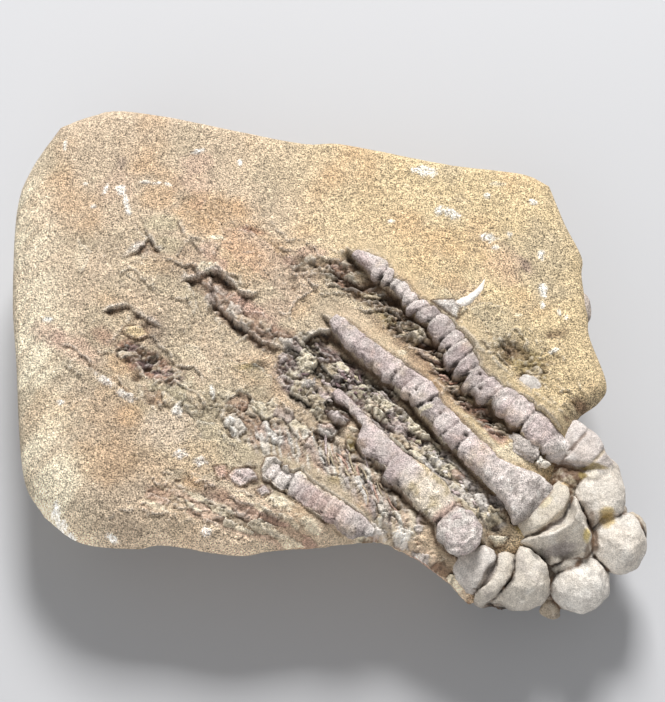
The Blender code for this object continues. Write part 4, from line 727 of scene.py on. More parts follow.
def break_up(x, y, height, paint):
    """Break the ground into plates, where the crown is crushed or the rock is stepped, with painted shade in
    the gaps between them; returns where.
    """
    edge = 1.1 * fbm(x, y, 71.0, 2.4, 3)
    crushed = np.zeros(x.shape)
    for number, (path, half, size, stretch, turn, rise, tints, strength) in enumerate(PLATY):
        part = around(x, y, path, half + 2.0)
        px, py = x[part], y[part]
        distance = np.abs(along_path(px, py, path)[0]) + edge[part]
        mask = smoothstep(half + 0.9, half - 0.9, distance)
        large, gap, share = flakes(px, py, size, stretch, turn, 3.0 * number + 0.5)
        small, small_gap, small_share = flakes(px, py, 0.45 * size, stretch, turn + 15, 3.0 * number + 1.5)
        crevice = 0.35 if size < 4.0 else 0.0
        seam = smoothstep(0.14, 0.02, gap)
        seam = seam * smoothstep(-0.4, 0.2, fbm(px, py, 83.0 + number, 1.5 * size, 2))
        small_seam = smoothstep(0.2, 0.02, small_gap)
        sharp = ridged(px, py, 91.0 + number, 1.3, 3) - 0.6
        grit = NOISE(px / 0.55, py / 0.55, 91.0)
        gritty = 0.10 * grit * min(1.0, 2.0 * strength) + 0.5 * sharp * min(rise, 1.0)
        height[part] += mask * (rise * (large + 0.4 * small - crevice * seam - 0.12 * small_seam) + gritty)
        tint = np.array(tints)[(0.999 * share * len(tints)).astype(int)]
        speck = 1.0 + 0.8 * fbm(px, py, 95.0, 0.9, 3, 0.7) * min(1.0, 1.5 * strength)
        tint = tint * ((0.82 + 0.36 * small_share) * speck)[:, None]
        fleck = NOISE(px / 0.9, py / 0.6, 99.0 + number) + 0.5 * NOISE(px / 0.4, py / 0.4, 99.0)
        often = 0.7 * mask * smoothstep(0.45, 0.85, strength) * (size < 2.0)
        # Painted shade in the gaps between plates
        gap_shade = min(1.0, 1.1 * rise) * mask * np.maximum(0.7 * seam, 0.25 * small_seam)
        paint[part] = layered(paint[part], [
            (tint, strength * mask),
            (DARK, often * smoothstep(-0.2, -0.6, fleck)),
            (CREAM, often * smoothstep(0.3, 0.7, fleck)),
            (DARK, gap_shade * (size < 4.0))])
        crushed[part] = np.maximum(crushed[part], mask * smoothstep(0.3, 0.6, strength))
    return crushed


def oval(x, y, centre, radii, turn):
    """Distance from the centre of a turned oval, 1 on its edge."""
    along, across = turned(x - centre[0], y - centre[1], turn)
    return np.hypot(along / radii[0], across / radii[1])


def near(x, y, centre, reach):
    """Which points lie in a square round a centre."""
    return (np.abs(x - centre[0]) < reach) & (np.abs(y - centre[1]) < reach)


def arm_offsets(x, y, arm):
    """Distance passed along an arm, and how far a point lies outside its right and its left edge."""
    offset, passed = along_path(x, y, arm["fine"])
    right = at_distance(passed, arm["right"])
    left = at_distance(passed, arm["left"])
    return passed, offset - right, left - offset


def crown_calm(x, y):
    """Less wandering next to the arms, so that their flanks stay on their edges."""
    mask = np.ones(x.shape)
    for arm in ARMS.values():
        part = around(x, y, arm["route"], 8.0)
        passed, beyond_right, beyond_left = arm_offsets(x[part], y[part], arm)
        beyond = np.maximum(beyond_right, beyond_left)
        mask[part] = np.minimum(mask[part], 0.3 + 0.7 * smoothstep(0.5, 4.0, beyond))
    return mask


def add_scarps(x, y, height, shade_and_dirt, shine):
    for number, (path, drop, reach) in enumerate(SCARPS):
        part = around(x, y, path, 3.0 * reach + 1.0)
        offset, passed = along_path(x[part], y[part], path)
        fade = ends_fade(passed, length_of(path), 0.2) * (0.35 + 0.65 * comes_and_goes(passed, number))
        swell = 0.25 + 1.0 * comes_and_goes(passed, number + 40)
        below = np.maximum(offset, 0.0)
        low_side = smoothstep(-0.10, 0.16, offset) * np.exp(-below / reach)
        lip = bell(offset + 0.40, 0.35)
        height[part] -= drop * fade * (low_side - 0.12 * lip)
        # Dark painted shadow at the foot of each drop, fading into a brown stain down its slope, and a
        # painted highlight (shine) on its lip
        starts = smoothstep(-0.12, 0.10, offset)
        foot = starts * np.exp(-(below / ((0.30 + 0.30 * drop) * swell)) ** 1.5)
        slope = starts * np.exp(-below / 1.7)
        strength = fade * min(1.0, drop)
        shade_and_dirt[part] = np.maximum(shade_and_dirt[part], strength * np.maximum(1.1 * foot, 0.5 * slope))
        shine[part] = np.maximum(shine[part], strength * lip)


def add_cracks_and_ridges(x, y, height, shade_and_dirt):
    for number, (path, depth, half) in enumerate(CRACKS):
        part = around(x, y, path, 2.5)
        offset, passed = along_path(x[part], y[part], path)
        swell = 0.5 + 0.9 * comes_and_goes(passed, number + 80)
        fade = ends_fade(passed, length_of(path), 0.3) * bell(offset, half * swell)
        fade = fade * comes_and_goes(passed, number)
        height[part] -= 0.8 * depth * fade
        # Painted shade in the cracks
        shade_and_dirt[part] = np.maximum(shade_and_dirt[part], min(0.9, 1.1 * depth) * fade)
    for path, rise, half in RIDGES:
        part = around(x, y, path, 3.0 * half + 0.5)
        offset, passed = along_path(x[part], y[part], path)
        height[part] += rise * ends_fade(passed, length_of(path)) * bell(offset, half)


def add_swells_and_pits(x, y, height, shade_and_dirt):
    for centre, radii, turn, rise in FORMS:
        height += rise * bell(oval(x, y, centre, radii, turn))
    for centre, radius, depth in PITS:
        part = near(x, y, centre, 3.0 * radius)
        away = np.hypot(x[part] - centre[0], y[part] - centre[1]) / radius
        height[part] -= depth * bell(away)
        # Painted shade in the deeper pits
        if depth > 0.7 and radius < 3:
            shade_and_dirt[part] = np.maximum(shade_and_dirt[part], 0.5 * bell(away, 0.7))


def add_flanks(true_x, true_y, x, y, height, shade_and_dirt):
    """Rock beside the arms: lower on their left, banked up on their right, and sunk under them, with painted
    shade at the foot of their left side and in the seam on their right.
    """
    for name, flank in FLANKS.items():
        arm = ARMS[name]
        part = around(x, y, arm["route"], 14.0)
        passed, beyond_right, beyond_left = arm_offsets(x[part], y[part], arm)
        start = np.hypot(true_x[part] - arm["route"][0][0], true_y[part] - arm["route"][0][1])
        fade = np.maximum(smoothstep(0.0, 2.0, passed), 0.5 * smoothstep(2.5, 0.5, start))
        bank = at_distance(passed, flank["bank"])
        outside_left, on_right = np.maximum(beyond_left, 0.0), beyond_left < 0
        left_side = smoothstep(-0.6, 0.25, beyond_left) * np.exp(-outside_left / flank["reach"])
        right_side = np.where(on_right, np.exp(-np.maximum(beyond_right, 0.0) / 3.0), 0.0)
        edge = bell(beyond_right - 0.1, 0.22) * on_right * flank["seam"]
        foot = smoothstep(-0.3, 0.0, beyond_left) * np.exp(-outside_left / 0.9)
        inside = np.minimum(-beyond_right, -beyond_left)
        hidden = smoothstep(0.0, 0.7, inside) * smoothstep(0.0, 1.5, passed)
        rise = -flank["drop"] * fade * left_side + bank * fade * right_side
        height[part] += rise - 0.25 * fade * edge - 1.6 * hidden
        shade_and_dirt[part] = np.maximum(shade_and_dirt[part], fade * np.maximum(0.55 * edge, flank["shade_and_grime"] * foot))


def relief(x, y):
    """Height of the face over its mean plane, how much painted shade and dirt lies in its cracks, pits and at
    the foot of its drops, and the shine on its lips.
    """
    calm = crown_calm(x, y)
    wx = x + 0.75 * fbm(x, y, 3.3, 2.6, 5, 0.66)
    wy = y + 0.75 * fbm(x, y, 13.3, 2.6, 5, 0.66)
    wx, wy = x + calm * (wx - x), y + calm * (wy - y)
    height = 0.5 * np.sin(0.055 * x + 0.6) * np.cos(0.06 * y) + 0.012 * x
    shade_and_dirt, shine = np.zeros(x.shape), np.zeros(x.shape)
    add_scarps(wx, wy, height, shade_and_dirt, shine)
    add_cracks_and_ridges(wx, wy, height, shade_and_dirt)
    add_swells_and_pits(wx, wy, height, shade_and_dirt)
    add_flanks(x, y, wx, wy, height, shade_and_dirt)
    for outline, rise, _ in FACE_PLATES:
        part = near(x, y, np.mean(outline, axis=0), PLATE_REACH)
        inside = -inside_outline(wx[part], wy[part], outline)
        height[part] += rise * smoothstep(-0.10, 0.25, inside)
        # Painted shade in a thin line round each plate's edge
        cleared = shade_and_dirt[part] * smoothstep(0.3, -0.1, inside)
        shade_and_dirt[part] = np.maximum(cleared, 0.7 * bell(inside + 0.12, 0.2))
    return height, shade_and_dirt, shine


def on_plates(x, y):
    """How far points lie on the flat plates, from 0 to 1."""
    mask = np.zeros(x.shape)
    for outline, _, _ in FACE_PLATES:
        part = near(x, y, np.mean(outline, axis=0), PLATE_REACH)
        inside = -inside_outline(x[part], y[part], outline)
        mask[part] = np.maximum(mask[part], smoothstep(-0.2, 0.3, inside))
    return mask


def lumps(x, y, height, paint):
    """Raise the lumps, and tint them and the flat plates."""
    ragged = 0.35 * fbm(x, y, 61.0, 1.4, 3)
    for outline, _, tint in FACE_PLATES:
        part = near(x, y, np.mean(outline, axis=0), PLATE_REACH)
        inside = -inside_outline(x[part], y[part], outline) + ragged[part]
        paint[part] = mix(paint[part], tint, 0.8 * smoothstep(-0.2, 0.4, inside))
    for centre, radii, turn, rise, tint in LUMPS:
        part = near(x, y, centre, 2.2 * max(radii) + 1.0)
        px, py = x[part], y[part]
        rough = 0.30 * NOISE(px / 0.9, py / 0.9, 31.0) + 0.22 * NOISE(px / 0.4, py / 0.4, 33.0)
        away = oval(px, py, centre, radii, turn) + 1.5 * rough
        height[part] += rise * smoothstep(1.15, 0.55, away)
        speckled = 0.45 + 0.45 * smoothstep(-0.2, 0.3, NOISE(px / 0.5, py / 0.5, 37.0))
        paint[part] = mix(paint[part], tint, speckled * smoothstep(1.2, 0.7, away))


def roughness(x, y):
    """Fine relief: sandy everywhere, crumbled and fibrous where the crown is crushed."""
    rough = zone(x, y, ROUGH, 3.0)
    sandy = 0.11 * fbm(x, y, 0.0, 3.0, 3) + 0.07 * NOISE(x / 0.62, y / 0.62, 2.0)
    broad = (0.40 * fbm(x, y, 5.0, 11.0, 3)
             + 0.28 * fbm(x, y, 17.0, 4.5, 4, 0.6) * smoothstep(14.0, -2.0, x + 0.5 * y))
    lumpy = 0.30 * fbm(x, y, 7.0, 1.9, 3) + 0.16 * (ridged(x, y, 12.0, 2.4, 2) - 0.6)
    steps = 0.16 * ledges(x, y, 6.5, 48, 71.0)
    for number, (path, half, rise, size, turn) in enumerate(LEDGES):
        part = around(x, y, path, half + 3.0)
        px, py = x[part], y[part]
        steps[part] += rise * zone(px, py, [(path, half)], 3.0) * ledges(px, py, size, turn, 5.0 * number)
    return steps + sandy + broad + rough * lumpy


def rounding_width(x, y):
    """Radius of the slab's rounded rim."""
    left = smoothstep(-20.0, -46.0, x)
    close = smoothstep(-5.0, -30.0, y)
    return ROUND_NARROW + ROUND_LEFT * left + ROUND_NEAR * close


# ---------------------------------------------------------------- meshes
def add_piece(name, verts, faces, node, material, paint=None, normals=None, grain=None):
    """A mesh piece in millimetres that rides on the root and stands for its CAD node."""
    mesh = bpy.data.meshes.new(name)
    verts = np.asarray(verts, float) * MM
    faces = faces.tolist() if isinstance(faces, np.ndarray) else faces
    mesh.from_pydata(verts.tolist(), [], faces)
    if paint is not None:
        layer = mesh.color_attributes.new("paint", "FLOAT_COLOR", "POINT")
        grain = np.ones(len(paint)) if grain is None else grain
        layer.data.foreach_set("color", np.column_stack([paint, grain]).ravel())
    mesh.shade_smooth()
    if normals is not None:
        mesh.normals_split_custom_set_from_vertices(normals.tolist())
    mesh.materials.append(material)
    made = bpy.data.objects.new(name, mesh)
    bpy.context.scene.collection.objects.link(made)
    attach(made, "root")
    if node:
        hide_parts(node)
    return made


# ---------------------------------------------------------------- materials
def stone_material(name, grain_mm, grain_contrast, bump_mm, roughness_range, speck=0.0):
    """Painted colour broken up by grain of the given size, with the same grain as bump."""
    material = bpy.data.materials.new(name)
    material.use_nodes = True
    nodes, links = material.node_tree.nodes, material.node_tree.links
    surface = nodes["Principled BSDF"]
    place = nodes.new("ShaderNodeTexCoord")
    paint = nodes.new("ShaderNodeAttribute")
    paint.attribute_name = "paint"

    def add(kind, source, socket, **numbers):
        """A node fed by a source, with plain numbers on its other sockets."""
        made = nodes.new(kind)
        links.new(source, made.inputs[socket])
        for label, number in numbers.items():
            made.inputs[label.replace("_", " ")].default_value = number
        return made

    def noise(size_mm, detail):
        made = add("ShaderNodeTexNoise", place.outputs["Object"], "Vector", Scale=1.0 / (size_mm * MM),
                   Detail=detail, Roughness=0.6)
        return made.outputs["Fac"]

    def ranged(source, low, high, to_low, to_high):
        made = add("ShaderNodeMapRange", source, "Value", From_Min=low, From_Max=high, To_Min=to_low,
                   To_Max=to_high)
        return made.outputs["Result"]

    def maths(operation, a, b):
        made = nodes.new("ShaderNodeMath")
        made.operation = operation
        links.new(a, made.inputs[0])
        if isinstance(b, float):
            made.inputs[1].default_value = b
        else:
            links.new(b, made.inputs[1])
        return made.outputs[0]

    fine, coarse, broad = noise(grain_mm, 2.0), noise(grain_mm * 3.2, 3.0), noise(grain_mm * 22.0, 4.0)
    contrast, coarse_contrast = grain_contrast, 0.35 * grain_contrast
    tone = maths("MULTIPLY", ranged(fine, 0.3, 0.7, 1 - contrast, 1 + contrast),
                 ranged(coarse, 0.3, 0.7, 1 - coarse_contrast, 1 + coarse_contrast))
    tone = maths("MULTIPLY", tone, ranged(broad, 0.3, 0.7, 0.93, 1.07))
    if speck:
        tone = maths("MULTIPLY", tone, ranged(noise(grain_mm * 1.4, 1.0), 0.62, 0.72, 1.0, 1.0 - speck))
    tone = maths("ADD", maths("MULTIPLY", maths("SUBTRACT", tone, 1.0), paint.outputs["Alpha"]), 1.0)
    shade = nodes.new("ShaderNodeMix")
    shade.data_type = "RGBA"
    shade.blend_type = "MULTIPLY"
    shade.inputs["Factor"].default_value = 1.0
    links.new(paint.outputs["Color"], shade.inputs["A"])
    links.new(tone, shade.inputs["B"])
    links.new(shade.outputs["Result"], surface.inputs["Base Color"])
    links.new(ranged(coarse, 0.3, 0.7, *roughness_range), surface.inputs["Roughness"])
    bump = add("ShaderNodeBump", maths("ADD", fine, coarse), "Height", Strength=1.0, Distance=bump_mm * MM)
    links.new(bump.outputs["Normal"], surface.inputs["Normal"])
    surface.inputs["Specular IOR Level"].default_value = 0.3
    return material


ROCK = stone_material("siltstone_grain", 0.24, 0.92, 0.24, (0.85, 0.98), speck=0.3)
CALCITE = stone_material("arm_calcite", 0.22, 0.60, 0.14, (0.6, 0.8))
PALE = stone_material("cup_calcite", 0.22, 0.34, 0.09, (0.5, 0.72))
CHALK = stone_material("white_chalk", 0.3, 0.3, 0.10, (0.7, 0.9))

# ---------------------------------------------------------------- slab
OPEN_ACROSS, CROWN_ACROSS = 140, 300
OPEN_DEEP, CROWN_DEEP = 110, 260
CROWN_FROM_ACROSS, CROWN_FROM_DEEP = 0.34, 0.34
SIDE_ROWS = 30


def shares(open_count, crown_count, start):
    """Shares from 0 to 1, closer together beyond start."""
    return np.concatenate([np.linspace(0.0, start, open_count, endpoint=False),
                           np.linspace(start, 1.0, crown_count + 1)])


def coons(far, near_row, left, right, u, v):
    """A grid that fills the four sides of the slab (Coons patch)."""
    u, v = u[:, None, None], v[None, :, None]
    ruled_deep = (1 - v) * far[:, None] + v * near_row[:, None]
    ruled_across = (1 - u) * left[None] + u * right[None]
    corners = ((1 - u) * (1 - v) * far[0] + u * (1 - v) * far[-1] + (1 - u) * v * near_row[0]
               + u * v * near_row[-1])
    return ruled_deep + ruled_across - corners


def once_round(far, right, near_row, left):
    """The four sides as one closed loop."""
    return np.concatenate([far[:-1], right[:-1], near_row[:0:-1], left[:0:-1]])


def paint_rock(x, y):
    """Colour of the rock: beige on the left, ochre on the far right, stained round the crown, with some dark
    ovals of painted shadow.
    """
    warm = fbm(x, y, 9.0, 18.0, 3)
    paint = layered(BEIGE, [
        (OCHRE, smoothstep(-6.0, 32.0, x + 0.5 * y + 12 * warm)),
        (ORANGE, 0.45 * smoothstep(0.0, 0.5, fbm(x, y, 14.0, 12.0, 3))),
        (GREY_BEIGE, 0.6 * smoothstep(-0.1, 0.5, fbm(x, y, 4.0, 9.0, 3)))])
    paint = paint * (1.0 - 0.07 * smoothstep(-6.0, -22.0, y - 0.2 * x))[:, None]
    paint = paint * (1.0 - 0.18 * smoothstep(-24.0, -32.0, x) * smoothstep(-2.0, -10.0, y))[:, None]
    streaks = fbm(1.2 * (x - y), 0.25 * (x + y), 6.0, 4.0, 4, 0.6)
    # Lighter and creamier along the left rim: cream streaks of the rock, and painted light on the rounded rim
    left_rim = smoothstep(-42.0, -52.0, x + 0.2 * (y - 20))
    paint = mix(paint, CREAM, left_rim * (0.3 + 0.5 * smoothstep(-0.2, 0.3, streaks)))
    ragged = 0.5 * fbm(x, y, 2.0, 2.6, 4)
    for centre, radii, turn, tint, strength in STAINS_AND_SHADOWS:
        part = near(x, y, centre, 2.0 * max(radii) + 1.0)
        away = oval(x[part], y[part], centre, radii, turn) + ragged[part]
        paint[part] = mix(paint[part], tint, strength * smoothstep(1.25, 0.45, away))
    return paint


def blur(grid, times):
    """A grid of heights smoothed by its neighbours."""
    for _ in range(times):
        padded = np.pad(grid, 1, mode="edge")
        grid = (padded[:-2, 1:-1] + padded[2:, 1:-1] + padded[1:-1, :-2] + padded[1:-1, 2:]
                + 4 * padded[1:-1, 1:-1]) / 8
    return grid


def grid_normals(points):
    """Vertex normals of a grid of points, so that pieces cut from it meet without a crease."""
    across = np.gradient(points, axis=0)
    deep = np.gradient(points, axis=1)
    normals = np.cross(deep, across)
    return normals / np.linalg.norm(normals, axis=-1)[..., None]


def add_patch(name, points, normals, paint, grain, skip=None):
    """A patch of the face; skip is the (row, column) where the finer patch takes over."""
    index = np.arange(points.shape[0] * points.shape[1]).reshape(points.shape[:2])
    quads = np.stack([index[:-1, :-1], index[1:, :-1], index[1:, 1:], index[:-1, 1:]], axis=-1)[..., ::-1]
    keep = np.ones(quads.shape[:2], bool)
    if skip:
        keep[skip[0]:, skip[1]:] = False
    quads = quads[keep]
    used = np.unique(quads)
    rename = np.full(index.size, -1)
    rename[used] = np.arange(len(used))
    return add_piece(name, points.reshape(-1, 3)[used], rename[quads], "matrix", ROCK,
                     paint.reshape(-1, 3)[used], normals.reshape(-1, 3)[used], grain.ravel()[used])


def paint_face(x, y, height, shade_and_dirt, shine, from_rim, shape):
    """Colour of the face, with its lumps raised, its painted shade and highlights, and how much the grain
    shows.
    """
    paint = paint_rock(x, y)
    grain = (1.0 - 0.55 * break_up(x, y, height, paint)) * (0.35 + 0.65 * crown_calm(x, y))
    lumps(x, y, height, paint)
    surface = height.reshape(shape)
    # Painted shade in hollows and creases and a painted highlight on crests, from how far each point lies
    # below or above its neighbours
    inner = smoothstep(0.6, 4.0, from_rim)
    cavity = (blur(surface, 12) - surface).ravel() * inner
    hollow = (blur(surface, 90) - surface).ravel() * inner
    darker = 1.0 - 0.5 * smoothstep(0.02, 0.25, cavity) - 0.2 * smoothstep(0.3, 1.4, hollow)
    # Brown stain and dark painted shade where the shade-and-dirt mask lies
    shade_and_grime = shade_and_dirt * (0.8 + 0.6 * fbm(x, y, 41.0, 1.2, 3))
    paint = layered(paint * darker[:, None], [
        (WHITE, 0.22 * smoothstep(0.04, 0.2, -cavity)),
        (BROWN, 0.75 * smoothstep(0.08, 0.55, shade_and_grime)),
        (DARK, 0.95 * smoothstep(0.42, 0.88, shade_and_grime)),
        (PALE_GREY, 0.5 * shine * smoothstep(-0.3, 0.3, fbm(x, y, 43.0, 1.2, 3)))])
    # Painted light: the rounded near rim and the low left part, which turn away from the lamps, are painted
    # lighter
    near_rim = smoothstep(4.0, 0.5, from_rim) * smoothstep(-16.0, -32.0, y)
    low_left = smoothstep(11.0, 3.0, from_rim) * smoothstep(-14.0, -24.0, y) * smoothstep(2.0, -16.0, x)
    return paint * (1.0 + 0.42 * near_rim)[:, None] * (1.0 + 0.20 * low_left)[:, None], grain


def build_sides(rim, top, back):
    """The slab's lumpy sides, from the rounded rim down to its smaller flat back."""
    outward = rim - back
    outward /= np.linalg.norm(outward, axis=1)[:, None] + 1e-9
    rings = [top]
    for row in range(1, SIDE_ROWS + 1):
        down = row / SIDE_ROWS
        ring = rim + (back - rim) * down ** 1.3
        x, y, z = ring[:, 0], ring[:, 1], top[:, 2] * (1 - down)
        lump = 2.2 * fbm(x, y, 0.8 * z, 11.0, 3) + 0.9 * fbm(x, y, 1.6 * z, 3.4, 4, 0.6)
        lump = lump + 0.9 * (ridged(x, y, 1.5 * z, 6.0) - 0.6) - 0.5
        fade = min(1.0, 4.0 * (1 - down)) * min(1.0, 4.0 * down)
        rings.append(np.column_stack([ring + outward * (lump * fade)[:, None], z]))
    verts = np.vstack(rings)
    count = len(rim)
    faces = []
    for row in range(SIDE_ROWS):
        upper, lower = count * row + np.arange(count), count * (row + 1) + np.arange(count)
        faces += np.column_stack([lower, np.roll(lower, -1), np.roll(upper, -1), upper]).tolist()
    faces.append((count * SIDE_ROWS + np.arange(count))[::-1].tolist())
    # Painted light: the near sides, which face away from the lamps, are painted lighter towards their top
    close = smoothstep(-16.0, -30.0, verts[:, 1])
    paint = paint_rock(*verts[:, :2].T) * (1.0 + 0.5 * close * smoothstep(8.0, 18.0, verts[:, 2]))[:, None]
    add_piece("slab_sides", verts, faces, "matrix", ROCK, paint)


def build_slab():
    """The face as a coarser and a finer patch that meet without a crease, and the sides."""
    u = shares(OPEN_ACROSS, CROWN_ACROSS, CROWN_FROM_ACROSS)
    v = shares(OPEN_DEEP, CROWN_DEEP, CROWN_FROM_DEEP)
    far, right, near_row, left = [curve_through(side, share) for side, share in
                                  ((FAR_SIDE, u), (RIGHT_SIDE, v), (NEAR_SIDE, u), (LEFT_SIDE, v))]
    grid = coons(far, near_row, left, right, u, v)
    shape = grid.shape[:2]
    index = np.arange(shape[0] * shape[1]).reshape(shape)
    loop = once_round(index[:, 0], index[-1, :], index[:, -1], index[0, :])
    flat = grid.reshape(-1, 2)
    rim = flat[loop]
    x, y = flat.T
    from_rim = np.abs(along_path(x, y, np.vstack([rim[::8], rim[:1]]))[0])
    from_rim[loop] = 0.0
    radius = rounding_width(x, y)
    inside = np.clip(1.0 - from_rim / radius, 0.0, 1.0)
    drop = radius * (1.0 - np.sqrt(1.0 - 0.97 * inside ** 2))
    height, shade_and_dirt, shine = relief(x, y)
    height = height * smoothstep(0.0, 2.5, from_rim) - drop
    for centre, radius, depth in SEATS:
        height = height - depth * np.exp(-((x - centre[0]) ** 2 + (y - centre[1]) ** 2) / radius ** 2)
    smoother = 1.0 - 0.7 * on_plates(x, y)
    height = height + roughness(x, y) * smoother * smoothstep(-0.6, 1.0, from_rim)
    paint, grain = paint_face(x, y, height, shade_and_dirt, shine, from_rim, shape)
    points = np.column_stack([flat, FACE_HEIGHT + height]).reshape(*shape, 3)
    normals = grid_normals(points)
    normals *= np.sign(normals[..., 2:3]).mean()
    paint, grain = paint.reshape(*shape, 3), grain.reshape(shape)
    add_patch("slab_face", points, normals, paint, grain, skip=(OPEN_ACROSS, OPEN_DEEP))
    crown = (slice(OPEN_ACROSS, None), slice(OPEN_DEEP, None))
    add_patch("slab_crown_bed", points[crown], normals[crown], paint[crown], grain[crown])
    back = once_round(*[curve_through(side, share) for side, share in
                        ((BACK_FAR, u), (BACK_RIGHT, v), (BACK_NEAR, u), (BACK_LEFT, v))])
    build_sides(rim, points.reshape(-1, 3)[loop], back)


# ---------------------------------------------------------------- arms
def frames_along(centres):
    """The level heading at each point of a line, and the direction across it."""
    run = np.gradient(centres, axis=0)
    run[:, 2] = 0.0
    run /= np.linalg.norm(run, axis=1)[:, None]
    return run, np.cross([0.0, 0.0, 1.0], run)


def tube_faces(rings, sides):
    """Faces of a tube of rings, the two ends last."""
    index = np.arange(rings * sides).reshape(rings, sides)
    a, b = index[:-1], index[1:]
    quads = np.stack([a, np.roll(a, -1, 1), np.roll(b, -1, 1), b], axis=-1).reshape(-1, 4)
    return quads.tolist() + [index[0][::-1].tolist(), index[-1].tolist()]


ARM_HALF_THICK = 1.7
ARM_RING_STEP, ARM_RING_POINTS = 0.17, 72


def arm_joints(joints, s, cos, sin, left_side, seed):
    """Groove at each joint, wider on the shadowed left side, step and tone from plate to plate, and the rim
    behind a joint, painted as a highlight.
    """
    rng = np.random.default_rng(seed)
    groove, step, rim = [np.zeros(s.shape) for _ in range(3)]
    plate_tone = np.ones(s.shape)
    previous = 0.0
    for at_right, at_left, openness in joints:
        lean = (at_left - at_right) * (1 - cos) / 2
        bow = 0.25 * (1 - cos ** 2) * rng.uniform(-1, 1)
        wobble = 0.14 * NOISE(s / 0.8, cos * 2.5, sin * 2.5 + seed)
        away = s - at_right - lean - bow - wobble
        ragged = 0.75 + 0.5 * NOISE(s / 0.5, cos * 4, sin * 4 + 5 * seed)
        comes = NOISE(cos * 1.1 + 3.0 * at_right, sin, 0.4) + 0.6 * openness + 0.5 * left_side
        ragged = ragged * smoothstep(-0.6, 0.1, comes)
        width = (0.10 + 0.08 * openness) * (1.0 + 1.5 * left_side)
        groove = np.maximum(groove, openness * ragged * (1.0 + 0.5 * left_side) * bell(away, width))
        offset = rng.uniform(-0.22, 0.22) * (0.35 + 0.65 * openness)
        step = step + (offset - previous) * smoothstep(-0.12, 0.12, away)
        previous = offset
        tone = rng.uniform(0.90, 1.10)
        plate_tone = plate_tone + (tone - plate_tone) * smoothstep(-0.1, 0.1, away)
        rim = np.maximum(rim, openness * bell(away - 0.45, 0.25))
    return groove, step, plate_tone, rim


def build_arm(name, seed):
    """A row of brachials from its two edges, with a groove at each joint and a step from plate to plate."""
    arm = ARMS[name]
    length = length_of(arm["fine"])
    end = arm.get("end", length)
    rings = int(end / ARM_RING_STEP)
    passed = np.linspace(0.0, end, rings)
    centres = np.column_stack([curve_through(arm["route"], passed / length), np.zeros(rings)])
    _, across = frames_along(centres)
    right, left, crest = [at_distance(passed, arm[key]) for key in ("right", "left", "crest")]
    right = right + 0.28 * fbm(passed, seed * 9.1, 0.2, 1.7, 3)
    left = left + 0.28 * fbm(passed, seed * 9.1, 6.2, 1.7, 3)
    middle, half = (right + left) / 2, (right - left) / 2
    angle = 2 * math.pi * (np.arange(ARM_RING_POINTS) + 0.5) / ARM_RING_POINTS
    cos, sin = np.cos(angle)[None], np.sin(angle)[None]
    wide = np.sign(cos) * np.abs(cos) ** 0.66
    tall = np.sign(sin) * np.abs(sin) ** 0.52
    s = passed[:, None] + 0 * cos
    left_side = smoothstep(0.1, -0.85, cos)
    groove, step, plate_tone, rim = arm_joints(arm["joints"], s, cos, sin, left_side, seed)

    pit = np.zeros(s.shape)
    lateral = middle[:, None] + half[:, None] * wide
    for at, offset, radius in arm["pits"]:
        away = np.hypot(s - at, lateral - offset) / radius + 0.3 * NOISE(s / 0.4, lateral / 0.4, 3.0)
        pit = np.maximum(pit, bell(away) * (sin > 0))

    body = 0.85 * half
    thick = np.minimum(body, ARM_HALF_THICK)[:, None]
    z = FACE_HEIGHT + crest[:, None] - thick + np.where(sin > 0, thick * tall, body[:, None] * tall)
    lift = (step + 0.34 * fbm(s, lateral, seed * 3.0, 2.6, 4, 0.65)
            + 0.24 * (ridged(s, lateral, seed * 2.0, 1.9, 3) - 0.6))
    chips, chip_gap, _ = flakes(s, lateral, 1.5, 1.2, 20, seed + 0.5)
    lift = lift + 0.22 * chips - 0.10 * smoothstep(0.10, 0.0, chip_gap)
    lift = lift + 0.13 * fbm(s, lateral, seed * 5.0 + 3.0, 0.8, 3, 0.7) - 0.42 * groove - 0.8 * pit
    push = (0.35 + 0.45 * left_side) * lift + 0.10 * fbm(s, sin * 2, cos * 2 + seed, 1.6, 3)
    x = centres[:, 0:1] + across[:, 0:1] * lateral + across[:, 0:1] * cos * push
    y = centres[:, 1:2] + across[:, 1:2] * lateral + across[:, 1:2] * cos * push
    z = z + lift * np.clip(sin, 0, 1) ** 0.5
    verts = np.stack([x, y, z], axis=-1).reshape(-1, 3)

    gx, gy, gz = verts.T
    tint = layered(LAVENDER, [
        (PALE_GREY, 0.2 + 0.9 * fbm(gx, gy, gz, 3.5, 3)),
        (GREY, 0.5 * smoothstep(0.0, 0.5, fbm(gx, gy, gz + 31, 2.0, 3))),
        (BEIGE, 0.55 * smoothstep(0.0, 0.5, fbm(gx, gy, gz + 9, 4.0, 3))),
        (PINK_BROWN, 0.35 * smoothstep(0.1, 0.6, fbm(gx, gy, gz + 21, 2.5, 3)))])
    # Painted shade: darker on the left side, which faces away from the light, and brown on the underside
    shade = smoothstep(0.35, -0.75, cos + 0 * s).ravel()
    tint = tint * (1.0 - 0.16 * shade)[:, None]
    low = smoothstep(0.15, -0.5, np.broadcast_to(sin, groove.shape)).ravel()
    tint = tint_arm(name, mix(tint, BROWN, 0.55 * low), s.ravel(), lateral.ravel())
    # Mottled at random, and painted lighter where the surface is lifted and darker where it sinks
    mottle = 1.0 + 0.36 * fbm(gx, gy, gz + 41, 1.3, 4, 0.65) + 0.6 * np.clip(lift, -0.3, 0.3).ravel()
    tint = tint * mottle[:, None]
    # Painted highlight on the rim behind each joint, and dark painted shade in the joint grooves and the pits
    tint = layered(tint * plate_tone.ravel()[:, None], [
        (PALE_GREY, 0.4 * rim.ravel()),
        (DARK, 0.85 * smoothstep(0.25, 0.9, groove).ravel()),
        (DARK, 0.8 * smoothstep(0.3, 0.9, pit).ravel())])
    return add_piece(f"{name}_brachials", verts, tube_faces(*s.shape), name, CALCITE, tint)


